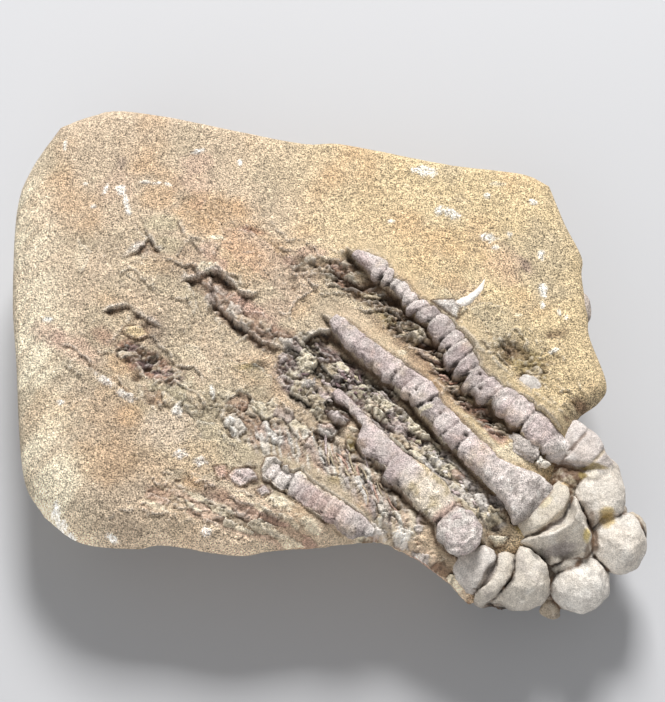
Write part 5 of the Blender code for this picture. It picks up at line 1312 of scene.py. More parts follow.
def tint_arm(name, tint, s, lateral):
    """The crusts and stains of each arm and a painted highlight near the tip of arm_1, s along the arm and
    lateral across it.
    """
    ragged = 0.6 * fbm(s, lateral, 50.0, 1.6, 3)
    if name == "arm_1":
        tint = tint * (1.0 - 0.20 * smoothstep(14.0, 18.0, s) * smoothstep(38.0, 34.0, s))[:, None]
        tint = tint * (1.0 + 0.08 * smoothstep(36.0, 40.0, s))[:, None]
        return layered(tint, [
            (WHITE, 0.35 * smoothstep(46.5, 49.0, s)),
            # painted highlight on the upper right of the tip
            (WHITE, 0.25 * smoothstep(0.6, 1.6, lateral) * smoothstep(9.0, 5.0, s))])
    if name == "arm_2":
        funnel = smoothstep(35.0, 39.0, s)
        wedge = np.abs(s - 22.6 - 0.25 * (lateral + 1)) / 0.45 + np.maximum(lateral - 0.3, 0) * 4
        return layered(tint, [
            (PALE_GREY, 0.5 * funnel),
            (GREY, 0.75 * funnel * smoothstep(-0.05, 0.3, fbm(s, lateral, 64.0, 2.2, 4, 0.6))),
            (WHITE, 0.5 * funnel * smoothstep(0.1, 0.4, fbm(s, lateral, 67.0, 1.6, 3))),
            (DARK, 0.4 * smoothstep(45.1, 46.1, s + 0.3 * ragged)),
            (CREAM, 0.9 * smoothstep(1.2, 0.7, wedge + ragged * 0.3))])
    if name == "arm_3":
        crust = smoothstep(18.0, 21.5, s + ragged * 2) * smoothstep(28.4, 26.6, s + ragged)
        return layered(tint, [
            (CREAM, 0.5 * crust),
            (OLIVE, 0.6 * crust * smoothstep(-0.1, 0.4, fbm(s, lateral, 60.0, 2.0, 3))),
            (OCHRE, 0.8 * smoothstep(1.6, 0.6, np.hypot((s - 18.4) / 2.6, (lateral - 3.2) / 0.8))),
            (PALE_GREY, 0.75 * smoothstep(27.8, 28.8, s)),
            (PINK, 0.6 * smoothstep(1.2, 0.4, np.abs(s - 27.7) + ragged))])
    return layered(tint, [
        (PALE_GREY, 0.6 * smoothstep(7.5, 5.0, s)),
        (PINK_BROWN, 0.45 * smoothstep(3.6, 1.2, np.hypot((s - 12.0) / 1.6, lateral))),
        (CREAM, 0.7 * smoothstep(1.6, 2.4, lateral + ragged)),
        (WHITE, 0.5 * smoothstep(18.5, 21.0, s + ragged))])


# ---------------------------------------------------------------- cup
VOXEL = 0.20
FACETS = 7
DOME_CUT, CHUNK_CUT = (0.88, 0.95), (0.58, 0.80)  # how deep the facets lie, as shares of a dome's support
CUP_LOW, CUP_HIGH = (19.0, -46.4, 2.0), (54.6, -14.0, 24.0)
# Each plate is a dome (centre, radii) cut by its outline; an outline may run past the dome's rim
PLATES = {
    "lip": ((37.2, -29.2, 12.8), (8.0, 8.0, 9.0), (198, 188, 172),
            [(31.9, -30.8), (33.4, -30.1), (34.9, -29.2), (36.0, -28.0), (37.0, -26.5), (37.9, -25.1),
             (38.7, -24.4), (39.7, -24.9), (40.2, -25.8), (40.3, -26.9), (39.9, -28.0), (39.2, -29.3),
             (38.3, -30.4), (37.1, -31.4), (35.7, -32.3), (34.2, -33.1), (32.8, -33.2), (32.1, -32.1)]),
    "radial_front": ((39.6, -33.4, 14.9), (7.4, 6.6, 5.4), (204, 195, 182),
                     [(31.9, -34.0), (33.0, -33.4), (34.4, -33.0), (35.9, -32.2), (37.4, -31.1),
                      (38.7, -29.7), (39.7, -28.2), (40.2, -27.0), (41.0, -26.6), (41.9, -27.6),
                      (42.6, -29.3), (43.1, -30.7), (43.6, -32.1), (43.4, -33.6), (42.9, -35.1),
                      (42.6, -36.2), (41.2, -36.4), (39.6, -37.0), (38.2, -37.5), (36.9, -37.7),
                      (35.8, -36.9), (34.6, -35.7), (33.2, -35.0)]),
    "radial_right": ((45.0, -26.4, 14.6), (5.2, 6.4, 6.2), (210, 201, 189),
                     [(41.2, -26.4), (42.0, -25.0), (43.2, -23.8), (44.4, -22.2), (45.8, -20.4),
                      (47.4, -18.6), (49.6, -18.6), (50.2, -22.4), (49.8, -26.0), (49.6, -30.0),
                      (48.2, -30.0), (46.9, -29.4), (45.4, -29.7), (44.6, -31.2), (43.7, -31.4),
                      (43.3, -30.2), (42.6, -28.5), (41.7, -27.6)]),
    "shoulder": ((42.0, -18.4, 16.2), (6.8, 6.6, 5.8), (200, 190, 184),
                 [(36.6, -20.8), (36.2, -17.5), (38.0, -14.6), (40.4, -13.6), (41.8, -13.9), (43.7, -15.5),
                  (45.2, -17.4), (46.9, -19.9), (48.9, -22.6), (49.8, -25.6), (47.4, -25.8), (45.8, -22.6),
                  (44.6, -21.9), (42.6, -21.5), (41.0, -21.2), (38.8, -20.9)]),
    "radial_left": ((32.4, -38.6, 13.6), (5.6, 5.7, 6.2), (206, 197, 184),
                    [(31.9, -34.9), (32.6, -35.1), (33.8, -35.8), (35.2, -37.2), (36.3, -38.6), (36.9, -40.2),
                     (36.8, -42.0), (36.4, -46.0), (24.0, -46.0), (25.2, -43.4), (27.4, -43.2), (29.0, -42.2),
                     (30.2, -41.0), (31.0, -39.6), (31.3, -38.2), (31.4, -36.8)]),
    "crescent": ((28.0, -39.0, 13.8), (4.9, 6.0, 5.6), (200, 191, 178),
                 [(28.4, -36.4), (29.5, -36.0), (31.0, -36.2), (31.1, -37.3), (31.0, -38.7), (30.3, -40.1),
                  (29.2, -41.5), (27.7, -42.7), (26.0, -43.4), (23.6, -43.8), (24.2, -42.3), (26.0, -41.7),
                  (27.2, -40.8), (28.0, -39.4), (28.4, -38.1), (28.3, -37.1)]),
    "brachial_near": ((24.8, -38.0, 14.8), (5.0, 5.4, 5.4), (202, 194, 186),
                      [(21.8, -36.9), (23.2, -35.9), (24.8, -35.3), (26.4, -34.8), (27.7, -35.7),
                       (28.2, -36.8), (27.7, -38.0), (26.6, -39.2), (25.6, -40.6), (24.8, -41.8),
                       (23.4, -41.6), (21.6, -40.2), (20.8, -39.0), (21.0, -38.0)]),
}
WINGS = {  # a second dome of a plate: centre, radii, turn
    "radial_left": ((30.9, -40.2, 12.6), (4.9, 2.1, 3.8), 30),
    "radial_right": ((46.2, -22.4, 15.0), (3.1, 3.7, 4.0), 0),
}
DOMES = {  # centre, radii, turn about Z, tint
    "sockets": ((41.0, -23.4, 13.9), (5.2, 5.0, 5.4), 0, (150, 126, 98)),
    "white_lump": ((36.0, -21.8, 20.4), (1.4, 0.9, 1.0), -10, (240, 232, 218)),
    # The cores lie under the plates and show only in the gaps; their dark tints are painted shade there
    "core": ((35.0, -35.0, 12.2), (7.4, 6.4, 4.6), 0, (120, 108, 94)),
    "core_right": ((42.6, -32.6, 11.8), (5.0, 5.4, 4.6), 0, (104, 92, 78)),
    "core_near": ((28.0, -38.4, 11.8), (6.0, 4.6, 4.8), -30, (128, 118, 106)),
    "crust": ((39.8, -37.4, 14.0), (3.4, 2.0, 3.4), -8, (196, 188, 176)),
    "basal_right": ((48.3, -33.0, 14.0), (4.8, 5.3, 4.9), 0, (222, 214, 203)),
    "basal_far": ((51.0, -30.8, 11.8), (2.5, 3.6, 3.6), 0, (196, 184, 166)),
    "basal_near": ((42.0, -39.8, 12.8), (5.0, 4.9, 4.9), 0, (226, 219, 209)),
    "knob": ((44.0, -23.6, 19.0), (1.5, 1.1, 1.3), 0, (218, 209, 194)),
    "under_left": ((37.0, -37.2, 9.6), (5.8, 4.8, 5.4), 0, (190, 180, 166)),
    "under_right": ((47.0, -27.6, 9.6), (4.2, 4.8, 4.4), 0, (190, 180, 166)),
    "base": ((42.8, -34.6, 8.2), (5.2, 5.0, 5.4), 0, (190, 180, 166)),
    "stem_scar": ((45.4, -36.4, 5.0), (2.6, 2.6, 2.0), 0, (180, 168, 150)),
    "broken_edge": ((37.6, -42.9, 9.5), (2.2, 2.0, 1.9), -35, (198, 182, 160)),
}
CORES = ("core", "core_right", "core_near")
CHUNKS = ("broken_edge", "white_lump", "knob")
ROUGHER = {"sockets": 0.9, "crust": 0.45, **dict.fromkeys(CORES, 0.7), **dict.fromkeys(CHUNKS, 0.3)}
FLAT_TOPS = {"lip": 21.1, "radial_left": 18.9, "crescent": 18.9, "brachial_near": 19.6, "radial_right": 20.1,
             "shoulder": 21.4}
PLATE_RIDGES = {  # path, rise, half width
    "radial_front": [
        ([(41.0, -26.6), (41.1, -29.4), (41.4, -31.4)], 2.0, 0.8),
        ([(32.4, -34.2), (35.0, -34.3), (37.4, -33.9), (39.4, -32.8), (41.2, -31.4)], 1.6, 0.8),
        ([(41.2, -31.4), (42.8, -34.0)], 1.7, 0.7),
    ],
    "radial_left": [([(32.2, -35.2), (33.0, -37.6), (33.6, -40.0)], 0.35, 1.4)],
    "shoulder": [([(38.2, -21.8), (41.1, -19.4), (44.6, -15.2)], -0.8, 0.34),
                 ([(43.2, -22.4), (44.9, -21.0), (47.8, -17.4)], -0.5, 0.34)],
}
PLATE_HOLLOWS = {  # centre, radius, depth
    "radial_front": [((39.6, -35.8), 2.2, 2.3), ((43.4, -31.2), 1.3, 1.5), ((38.4, -31.0), 1.5, 1.0),
                     ((36.0, -36.6), 1.4, 1.3)],
}
CUP_STAINS_AND_SHADES = [  # centre, radii, turn, tint, strength; the DARK and GREY ovals are painted shade in the hollows of radial_front, under the lip and in the grooves between plates
    ((46.3, -30.4), (1.5, 1.6), 0, colour(198, 172, 110), 0.75),
    ((42.5, -34.0), (0.7, 1.0), 0, colour(210, 188, 120), 0.85),
    ((42.9, -36.0), (0.7, 1.1), -10, BROWN, 0.6), ((43.6, -33.0), (0.6, 1.8), 8, BROWN, 0.6),
    ((43.8, -30.6), (0.45, 1.2), 10, BROWN, 0.6), ((41.4, -18.8), (3.6, 0.35), 47, BROWN, 0.6),
    ((45.6, -20.2), (3.0, 0.3), 48, OLIVE, 0.5), ((44.0, -33.4), (0.9, 2.6), 6, BROWN, 0.85),
    ((36.2, -28.6), (1.6, 0.6), 44, colour(206, 190, 150), 0.5),
    ((39.0, -36.4), (2.0, 0.8), 8, DARK, 0.55), ((36.0, -36.4), (1.4, 0.6), -44, DARK, 0.5),
    ((43.4, -31.6), (0.5, 1.8), 8, DARK, 0.6), ((37.6, -31.9), (1.9, 0.6), 32, GREY, 0.6),
    ((38.6, -35.6), (2.8, 1.0), 14, GREY, 0.85), ((39.8, -36.4), (2.6, 0.6), 10, DARK, 0.4),
    ((35.2, -28.8), (4.0, 0.4), 44, BROWN, 0.7), ((45.2, -30.6), (1.2, 0.8), -30, GREY, 0.4),
    ((44.6, -22.2), (2.4, 0.5), 0, OLIVE, 0.8), ((41.0, -22.6), (2.6, 1.0), -30, BROWN, 0.9),
    ((42.6, -23.4), (0.9, 0.7), -30, OLIVE, 0.9), ((39.6, -25.0), (0.8, 0.5), 0, colour(206, 180, 140), 0.8),
    ((26.8, -39.6), (0.8, 1.8), -36, GREY, 0.7), ((27.3, -38.6), (0.5, 1.4), -36, DARK, 0.5),
    ((30.2, -41.0), (0.5, 1.4), -40, DARK, 0.75), ((34.2, -36.6), (0.5, 1.3), 40, DARK, 0.6),
]
CUP_ORDER = [*PLATES, *DOMES]
FLANK_PLATES = ("shoulder", "radial_right", "knob")  # grown into one another, with hardly a seam
FAR_AWAY = 9.0


def smooth_min(a, b, k):
    """The lesser of two distances, with the corner between them rounded over k."""
    h = np.clip(0.5 + 0.5 * (b - a) / k, 0.0, 1.0)
    return b * (1 - h) + a * h - k * h * (1 - h)


def ellipsoid_field(x, y, z, centre, radii, turn=0.0):
    """Rough signed distance to an ellipsoid turned about Z."""
    along, across = turned(x - centre[0], y - centre[1], turn)
    px, py, pz = along / radii[0], across / radii[1], (z - centre[2]) / radii[2]
    k0 = np.sqrt(px ** 2 + py ** 2 + pz ** 2) + 1e-6
    k1 = np.sqrt((px / radii[0]) ** 2 + (py / radii[1]) ** 2 + (pz / radii[2]) ** 2) + 1e-6
    return k0 * (k0 - 1.0) / k1


def faceted(field, x, y, z, centre, radii, seed, least, most):
    """A dome with some of its roundness cut away by flat faces."""
    rng = np.random.default_rng(seed)
    for _ in range(FACETS):
        normal = rng.normal(size=3) * (1.0, 1.0, 0.8) + (0.0, 0.0, 0.7)
        normal /= np.linalg.norm(normal)
        support = np.linalg.norm(normal * np.asarray(radii))
        away = (x - centre[0]) * normal[0] + (y - centre[1]) * normal[1] + (z - centre[2]) * normal[2]
        flat = away - support * rng.uniform(least, most)
        field = -smooth_min(-field, -flat, 0.35)
    return field


def cup_fields(x, y, z):
    """Signed distances to every plate and dome of the cup at points given by flat x, y and z."""
    fields = []
    x = x + 0.25 * fbm(x, y, z + 60, 2.2, 3)
    y = y + 0.25 * fbm(x, y, z + 70, 2.2, 3)
    bodies = [(name, (row[0], row[1], 0.0)) for name, row in PLATES.items()]
    bodies += [(name, row[:3]) for name, row in DOMES.items()]
    for number, (name, (centre, radii, turn)) in enumerate(bodies):
        reach = 2.0 + (10.0 if name in WINGS else max(radii))
        part = near(x, y, centre, reach) & (np.abs(z - centre[2]) < reach)
        px, py, pz = x[part], y[part], z[part]
        dome = ellipsoid_field(px, py, pz, centre, radii, turn)
        cut = CHUNK_CUT if name in CHUNKS else DOME_CUT
        dome = faceted(dome, px, py, pz, centre, radii, number + 5, *cut)
        if name in WINGS:
            dome = smooth_min(dome, ellipsoid_field(px, py, pz, *WINGS[name]), 1.0)
        for path, rise, half in PLATE_RIDGES.get(name, []):
            dome = dome - rise * bell(along_path(px, py, path)[0], half)
        for (cx, cy), radius, depth in PLATE_HOLLOWS.get(name, []):
            dome = dome + depth * np.exp(-((px - cx) ** 2 + (py - cy) ** 2) / radius ** 2)
        if name in ROUGHER:
            dome = dome + ROUGHER[name] * fbm(px, py, pz, 1.9, 4, 0.65)
        if name in FLAT_TOPS:
            dome = -smooth_min(-dome, FLAT_TOPS[name] - pz, 1.2)
        if name in PLATES:
            wall = inside_outline(px, py, PLATES[name][3]) - 0.06 + 0.02 * np.maximum(18.0 - pz, 0.0)
            dome = -smooth_min(-dome, -wall, 0.55)
        field = np.full(x.shape, FAR_AWAY)
        field[part] = dome
        fields.append(field)
    return fields


def coarse_cup(axes):
    """Distance to the plain domes on the whole grid, to find where the surface can lie."""
    values = np.full([len(axis) for axis in axes], FAR_AWAY)
    for row in list(PLATES.values()) + list(DOMES.values()) + list(WINGS.values()):
        centre, radii = row[:2]
        reach = max(radii) + 2.4
        box = [slice(*np.searchsorted(axis, (c - reach, c + reach))) for axis, c in zip(axes, centre)]
        x, y, z = np.meshgrid(*[axis[span] for axis, span in zip(axes, box)], indexing="ij")
        turn = row[2] if isinstance(row[2], (int, float)) else 0.0
        values[tuple(box)] = np.minimum(values[tuple(box)], ellipsoid_field(x, y, z, centre, radii, turn))
    return values.ravel()


def paint_cup(x, y, z):
    """Colour of the cup: each plate's own tint, with dirt and painted shade in the seams between them,
    painted shadow under the lip, and painted shade low down and in the deep cores.
    """
    ranked = np.stack(cup_fields(x, y, z))
    order = np.argsort(ranked, axis=0)
    nearest, second = order[0], order[1]
    seam = (np.take_along_axis(ranked, order[1:2], 0) - np.take_along_axis(ranked, order[0:1], 0))[0]
    tints = [row[2] for row in PLATES.values()] + [row[3] for row in DOMES.values()]
    tint = np.array([colour(*tint) for tint in tints])[nearest]
    tint = mix(tint, BEIGE, 0.25 * smoothstep(-0.2, 0.5, fbm(x, y, z, 6.0, 3)))
    rock = nearest == CUP_ORDER.index("sockets")
    tint[rock] = mix(BROWN, CREAM, smoothstep(-0.25, 0.5, fbm(x[rock], y[rock], z[rock], 1.6, 4, 0.65)))
    tint = layered(tint, [(WHITE, 0.35 * smoothstep(0.0, 0.6, fbm(x, y, z + 4, 2.4, 3))),
                          (GREY, 0.35 * smoothstep(0.0, 0.5, fbm(x, y, z + 14, 2.0, 3)))])
    mottle = 0.22 * fbm(x, y, z + 24, 2.6, 4, 0.6) + 0.20 * fbm(x, y, z + 44, 0.9, 3, 0.65)
    # Random mottle, and painted shade that darkens the cup towards its bottom
    tint = tint * (1.0 + mottle - 0.30 * smoothstep(16.0, 8.0, z))[:, None]
    # Painted shade and dirt in the seams where two plates meet, and painted shadow on radial_front under the
    # lip
    patchy = smoothstep(-0.3, 0.3, NOISE(x / 2.6, y / 2.6, z))
    shade_and_grime = smoothstep(0.62, 0.08, seam + 0.25 * NOISE(x, y, z)) * (0.55 + 0.42 * patchy)
    flank = [CUP_ORDER.index(name) for name in FLANK_PLATES]
    shade_and_grime = shade_and_grime * (1.0 - 0.8 * (np.isin(nearest, flank) & np.isin(second, flank)))
    star = CUP_ORDER.index("radial_front")
    under_lip = ranked[CUP_ORDER.index("lip")] - ranked[star] + 0.25 * NOISE(x, y, z + 5)
    shadow = 0.92 * (nearest == star) * smoothstep(1.1, 0.3, under_lip) * smoothstep(33.4, 35.4, x)
    shade_and_dirt_tint = mix(DARK, BROWN, smoothstep(-0.3, 0.3, NOISE(x / 3, y / 3, z + 8)))
    tint = mix(tint, shade_and_dirt_tint, np.maximum(shade_and_grime, shadow))
    # Painted shade: the deep cores darker still, in patches
    deep = np.isin(nearest, [CUP_ORDER.index(name) for name in CORES])
    tint[deep] = mix(tint[deep], DARK, 0.7 * smoothstep(0.3, -0.4, fbm(x[deep], y[deep], z[deep], 1.5, 3)))
    ragged = 0.4 * fbm(x, y, 2.0, 1.4, 3)
    for centre, radii, turn, patch, strength in CUP_STAINS_AND_SHADES:
        away = oval(x, y, centre, radii, turn) + ragged
        tint = mix(tint, patch, strength * smoothstep(1.15, 0.6, away))
    return tint


def build_cup():
    """Every plate and dome melted together in a grid of distances, then skinned."""
    low = np.array(CUP_LOW)
    axes = [np.arange(a, b, VOXEL) for a, b in zip(low, CUP_HIGH)]
    x, y, z = [v.ravel() for v in np.meshgrid(*axes, indexing="ij")]
    values = coarse_cup(axes)
    close = np.abs(values) < 1.9
    px, py, pz = x[close], y[close], z[close]
    fields = cup_fields(px, py, pz)
    shoulder, radial_right, knob = [fields[CUP_ORDER.index(name)] for name in FLANK_PLATES]
    total = smooth_min(smooth_min(shoulder, radial_right, 1.4), knob, 0.9)
    for field in fields:
        total = smooth_min(total, field, 0.12)
    total = total + 0.30 * fbm(px, py, pz, 4.2, 3) + 0.24 * (0.6 - ridged(px, py, pz + 9, 2.4, 4))
    background = float(values.max())
    values[close] = total + 0.10 * fbm(px, py, pz + 33, 1.0, 2, 0.6)
    grid = openvdb.FloatGrid(background=max(background, float(values.max())))
    grid.copyFromArray(values.reshape([len(axis) for axis in axes]).astype(np.float32))
    points, quads = grid.convertToQuads(isovalue=0.0)
    verts = points * VOXEL + low
    return add_piece("cup_plates", verts, quads, "cup", PALE, paint_cup(*verts.T))


# ---------------------------------------------------------------- loose pieces
def build_blob(name, node, material, centre, radii, turn, tint, seed, bumps=0.12, detail=5):
    """A lumpy pebble-like body on a subdivided sphere."""
    rings, sides = 12 * detail, 16 * detail
    lat = (np.arange(rings) + 0.5) / rings * math.pi
    lon = np.arange(sides) / sides * 2 * math.pi
    lat, lon = np.meshgrid(lat, lon, indexing="ij")
    unit = np.stack([np.sin(lat) * np.cos(lon), np.sin(lat) * np.sin(lon), np.cos(lat)], axis=-1)
    swell = 1.0 + bumps * fbm(*(unit.transpose(2, 0, 1) * 1.6 + seed), 1.0, 4)
    body = unit * np.asarray(radii) * swell[..., None]
    verts = np.stack([*turned(body[..., 0], body[..., 1], -turn), body[..., 2]], -1)
    verts = verts.reshape(-1, 3) + np.asarray(centre)
    shade = 0.85 + 0.3 * fbm(*(verts.T * 0.9), 1.0, 3)
    paint = np.asarray(tint)[None] * shade[:, None]
    return add_piece(name, verts, tube_faces(rings, sides), node, material, paint)


def build_spine():
    rows = curve_through([(21.0, 4.2, 0.9), (23.1, 5.4, 0.95), (25.1, 6.9, 0.72), (26.6, 8.5, 0.52),
                          (27.5, 10.1, 0.34), (27.9, 11.3, 0.14)], np.linspace(0, 1, 130))
    sides = 28
    centres = np.column_stack([rows[:, :2], np.linspace(23.0, 22.5, len(rows))])
    _, across = frames_along(centres)
    angle = 2 * math.pi * (np.arange(sides) + 0.5) / sides
    cos, sin = np.cos(angle)[None], np.sin(angle)[None]
    half = rows[:, 2:3]
    rough = 1.0 + 0.25 * fbm(rows[:, :1] + 0 * cos, cos * 1.2, sin * 1.2, 0.9, 3)
    x = centres[:, :1] + across[:, :1] * half * cos * rough
    y = centres[:, 1:2] + across[:, 1:2] * half * cos * rough
    z = centres[:, 2:] + 0.75 * half * sin * rough
    verts = np.stack([x, y, z], -1).reshape(-1, 3)
    paint = mix(WHITE, PALE_GREY, 0.4 + fbm(*verts.T, 0.8, 3))
    root = smoothstep(7.2, 5.0, verts[:, 1] + 0.8 * fbm(*verts.T, 0.6, 2))
    paint = mix(paint, GREY, 0.7 * root * smoothstep(-0.1, 0.3, fbm(*(verts.T + 7), 0.6, 2)))
    return add_piece("spine_calcite", verts, tube_faces(len(rows), sides), "spine", CHALK, paint)


# Small bodies lying in the crushed crown: path, half width, number, length, radius, heading in degrees,
# spread, tints
SCATTER = {
    "trough_crumbs": [
        ([(-4.6, -7.0), (-1.0, -10.0), (1.5, -9.0)], 1.8, 10, (0.5, 1.4), (0.2, 0.4), -40, 80,
         (PURPLE, LAVENDER, GREY)),
        ([(1.0, -4.5), (6.0, -8.0), (10.0, -12.0), (14.5, -17.6), (18.0, -20.6)], 1.8, 30, (0.6, 1.8),
         (0.16, 0.36), -40, 50, (PURPLE, LAVENDER, GREENISH, GREY, CREAM)),
        ([(18.0, -21.5), (24.0, -27.2), (27.4, -30.0)], 1.4, 22, (0.6, 1.6), (0.16, 0.34), -45, 50,
         (PALE_GREY, GREY, LAVENDER, GREY_BEIGE)),
    ],
    "pinnules": [
        ([(5.0, 9.4), (10.5, 5.4), (14.0, 1.8), (18.6, -3.8)], 1.5, 16, (1.8, 3.4), (0.2, 0.36), -8, 14,
         (BEIGE, GREY_BEIGE)),
        ([(18.6, -3.8), (22.6, -10.0), (28.0, -16.4)], 1.3, 12, (1.4, 2.6), (0.2, 0.34), -4, 20,
         (BEIGE, PINK, PINK_BROWN)),
        ([(-9.0, -16.5), (-2.0, -18.5), (4.0, -22.0), (9.4, -28.0)], 2.6, 34, (1.6, 4.0), (0.10, 0.2),
         -72, 16, (LAVENDER, GREY_BEIGE, PINK, BEIGE)),
    ],
}


def clear_of_arms(x, y):
    """Which points lie beside every arm."""
    clear = np.ones(x.shape, bool)
    for arm in ARMS.values():
        passed, beyond_right, beyond_left = arm_offsets(x, y, arm)
        on_arm = (passed > 0.1) & (passed < length_of(arm["fine"]) - 0.1)
        clear &= ~(on_arm & (beyond_right < 0.25) & (beyond_left < 0.25))
    return clear


def build_scatter(name, groups, seed):
    """Many small bodies, each a short bent tube with pointed ends, pressed into the face."""
    rng = np.random.default_rng(seed)
    rings, sides = 7, 7
    along = np.linspace(-1.0, 1.0, rings)
    girth = np.sqrt(np.clip(1.0 - (0.98 * along) ** 4, 0.02, 1.0))
    angle = 2 * math.pi * np.arange(sides) / sides
    template = np.array(tube_faces(rings, sides)[:-2])
    all_verts, all_faces, all_paint = [], [], []
    for path, half, count, lengths, radii, heading, spread, tints in groups:
        spots = curve_through(path, rng.random(count))
        spots = spots + rng.normal(scale=0.5 * half, size=(count, 2))
        turn = np.radians(heading + spread * rng.normal(scale=0.5, size=count))
        length = rng.uniform(*lengths, size=count) / 2
        radius = rng.uniform(*radii, size=count)
        keep = clear_of_arms(*spots.T)
        dx, dy = np.cos(turn), np.sin(turn)
        x = spots[:, 0:1] + along * (length * dx)[:, None]
        y = spots[:, 1:2] + along * (length * dy)[:, None]
        bend = rng.normal(scale=0.12, size=count) * length
        x, y = x - (bend * dy)[:, None] * along ** 2, y + (bend * dx)[:, None] * along ** 2
        ground = relief(x.ravel(), y.ravel())[0].reshape(x.shape)
        ground = 0.5 * ground + 0.5 * ground.mean(axis=1, keepdims=True)
        wobble = 1.0 + 0.45 * rng.normal(size=(count, rings, sides)).clip(-1.2, 1.2)
        ring = radius[:, None, None] * girth[None, :, None] * wobble
        side, rise = ring * np.cos(angle), ring * np.sin(angle)
        vx = x[..., None] - side * dy[:, None, None]
        vy = y[..., None] + side * dx[:, None, None]
        vz = FACE_HEIGHT + ground[..., None] + 0.8 * rise + rng.uniform(-0.30, 0.15, size=(count, 1, 1))
        tint = np.array(tints)[rng.integers(len(tints), size=count)]
        shade = (0.75 + 0.35 * np.clip(np.sin(angle), -1, 1))[None, None, :, None]
        paint = np.broadcast_to(tint[:, None, None, :] * shade, (count, rings, sides, 3))
        verts = np.stack([vx, vy, vz], axis=-1)[keep].reshape(-1, 3)
        first = sum(len(v) for v in all_verts) + rings * sides * np.arange(keep.sum())
        all_faces.append((template[None] + first[:, None, None]).reshape(-1, 4))
        all_verts.append(verts)
        all_paint.append(paint[keep].reshape(-1, 3))
    verts, faces, paint = np.vstack(all_verts), np.vstack(all_faces), np.vstack(all_paint)
    add_piece(name, verts, faces, None, CALCITE, paint)


DISC_CENTRE, DISC_RADII = (22.3, -33.9, 21.7), (3.5, 3.6, 1.5)


def build_disc():
    """The round broken end of arm 3, with faint rings like a coin."""
    rings, sides = 60, 120
    lat = np.linspace(0.0, 1.0, rings)[:, None] * math.pi * 0.55
    lon = np.arange(sides)[None] / sides * 2 * math.pi
    reach = np.sin(np.minimum(lat, math.pi / 2)) ** 0.8
    flat = reach * (1 + 0.16 * NOISE(np.cos(lon) * 1.5 + 0 * lat, np.sin(lon) * 1.5, 4.0))
    x = DISC_CENTRE[0] + DISC_RADII[0] * flat * np.cos(lon)
    y = DISC_CENTRE[1] + DISC_RADII[1] * flat * np.sin(lon)
    ripple = 0.13 * np.sin(reach * 13.0 + 2.6 * NOISE(x / 1.6, y / 1.6, 2.0)) * smoothstep(0.2, 0.6, reach)
    dome = DISC_RADII[2] * np.sign(np.cos(lat)) * np.abs(np.cos(lat)) ** 0.5
    z = DISC_CENTRE[2] + dome + ripple + 0.55 * fbm(x, y, 3.0, 2.4, 4, 0.6)
    verts = np.stack([x, y, z], -1).reshape(-1, 3)
    paint = mix(PALE_GREY, LAVENDER, 0.55 + 1.2 * fbm(*verts.T, 1.8, 3)) * 0.95
    # Painted shade in the troughs of the rings
    paint = mix(paint, GREY, 0.7 * smoothstep(0.02, -0.08, ripple.ravel()))
    add_piece("arm_3_end_disc", verts, tube_faces(rings, sides), "arm_3", CALCITE, paint)


# ---------------------------------------------------------------- stage
FLOOR_HALF_WIDTH = 3.0  # metres, like the lights' places and sizes
LIT_POINT = Vector((0.0, 0.0, 0.02))


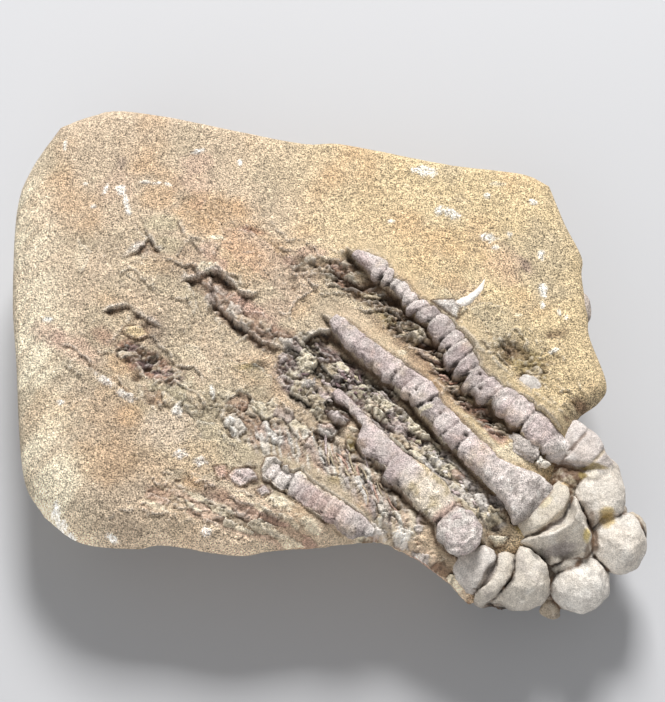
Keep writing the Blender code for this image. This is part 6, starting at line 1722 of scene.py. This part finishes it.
def build_stage():
    """The camera at the photo's viewing angle, a plain pale floor and soft light."""
    scene = bpy.context.scene
    forward = Vector((0.0, math.cos(ELEVATION), -math.sin(ELEVATION)))
    camera = bpy.data.cameras.new("camera")
    camera.lens = LENS
    camera.sensor_width = 36.0
    camera.clip_start = 0.01
    view = bpy.data.objects.new("camera", camera)
    view.location = TARGET - CAMERA_DISTANCE * forward
    view.rotation_euler = (math.pi / 2 - ELEVATION, 0.0, 0.0)
    scene.collection.objects.link(view)
    scene.camera = view

    mesh = bpy.data.meshes.new("floor")
    a = FLOOR_HALF_WIDTH
    mesh.from_pydata([(-a, -a, 0), (a, -a, 0), (a, a, 0), (-a, a, 0)], [], [(0, 1, 2, 3)])
    floor = bpy.data.objects.new("floor", mesh)
    scene.collection.objects.link(floor)
    material = bpy.data.materials.new("floor")
    material.use_nodes = True
    surface = material.node_tree.nodes["Principled BSDF"]
    surface.inputs["Base Color"].default_value = (0.50, 0.50, 0.51, 1)
    surface.inputs["Roughness"].default_value = 0.9
    mesh.materials.append(material)

    def area(name, location, size, power, tint=(1, 1, 1)):
        light = bpy.data.lights.new(name, "AREA")
        light.size = size
        light.energy = power
        light.color = tint
        lamp = bpy.data.objects.new(name, light)
        lamp.location = location
        lamp.rotation_euler = (LIT_POINT - Vector(location)).to_track_quat("-Z", "Y").to_euler()
        scene.collection.objects.link(lamp)

    area("key", (0.04, 0.60, 0.62), 0.26, 10.4)
    area("fill", (-0.25, -0.75, 0.55), 0.9, 3.6)
    world = bpy.data.worlds.new("world")
    world.use_nodes = True
    world.node_tree.nodes["Background"].inputs["Color"].default_value = (0.95, 0.97, 1.0, 1.0)
    world.node_tree.nodes["Background"].inputs["Strength"].default_value = 0.28
    scene.world = world
    scene.view_settings.view_transform = "Standard"


for arm_data in ARMS.values():
    fine_count = int(length_of(arm_data["route"]) / 0.8)
    arm_data["fine"] = curve_through(arm_data["route"], np.linspace(0.0, 1.0, fine_count))

build_stage()
build_slab()
for arm_name, arm_seed in (("arm_1", 1), ("arm_2", 2), ("arm_3", 3), ("arm_4", 4)):
    build_arm(arm_name, arm_seed)
build_cup()
build_spine()
build_disc()
for scatter_seed, (scatter_name, scatter_groups) in enumerate(SCATTER.items()):
    build_scatter(scatter_name, scatter_groups, 60 + scatter_seed)
build_blob("rim_ossicle", "rim_columnal", CALCITE, (44.3, 6.9, 18.6), (1.5, 2.9, 2.4), 4,
           colour(196, 182, 170), 3.0)
build_blob("crown_plate", None, CALCITE, (33.0, -19.3, 21.3), (2.9, 1.9, 1.3), -36,
           colour(196, 186, 178), 9.0, 0.45)
build_blob("chalky_ossicle", "pit_ossicle", CHALK, (34.2, -8.9, 22.4), (2.2, 1.7, 1.3), -30,
           colour(206, 198, 190), 6.0, 0.2)
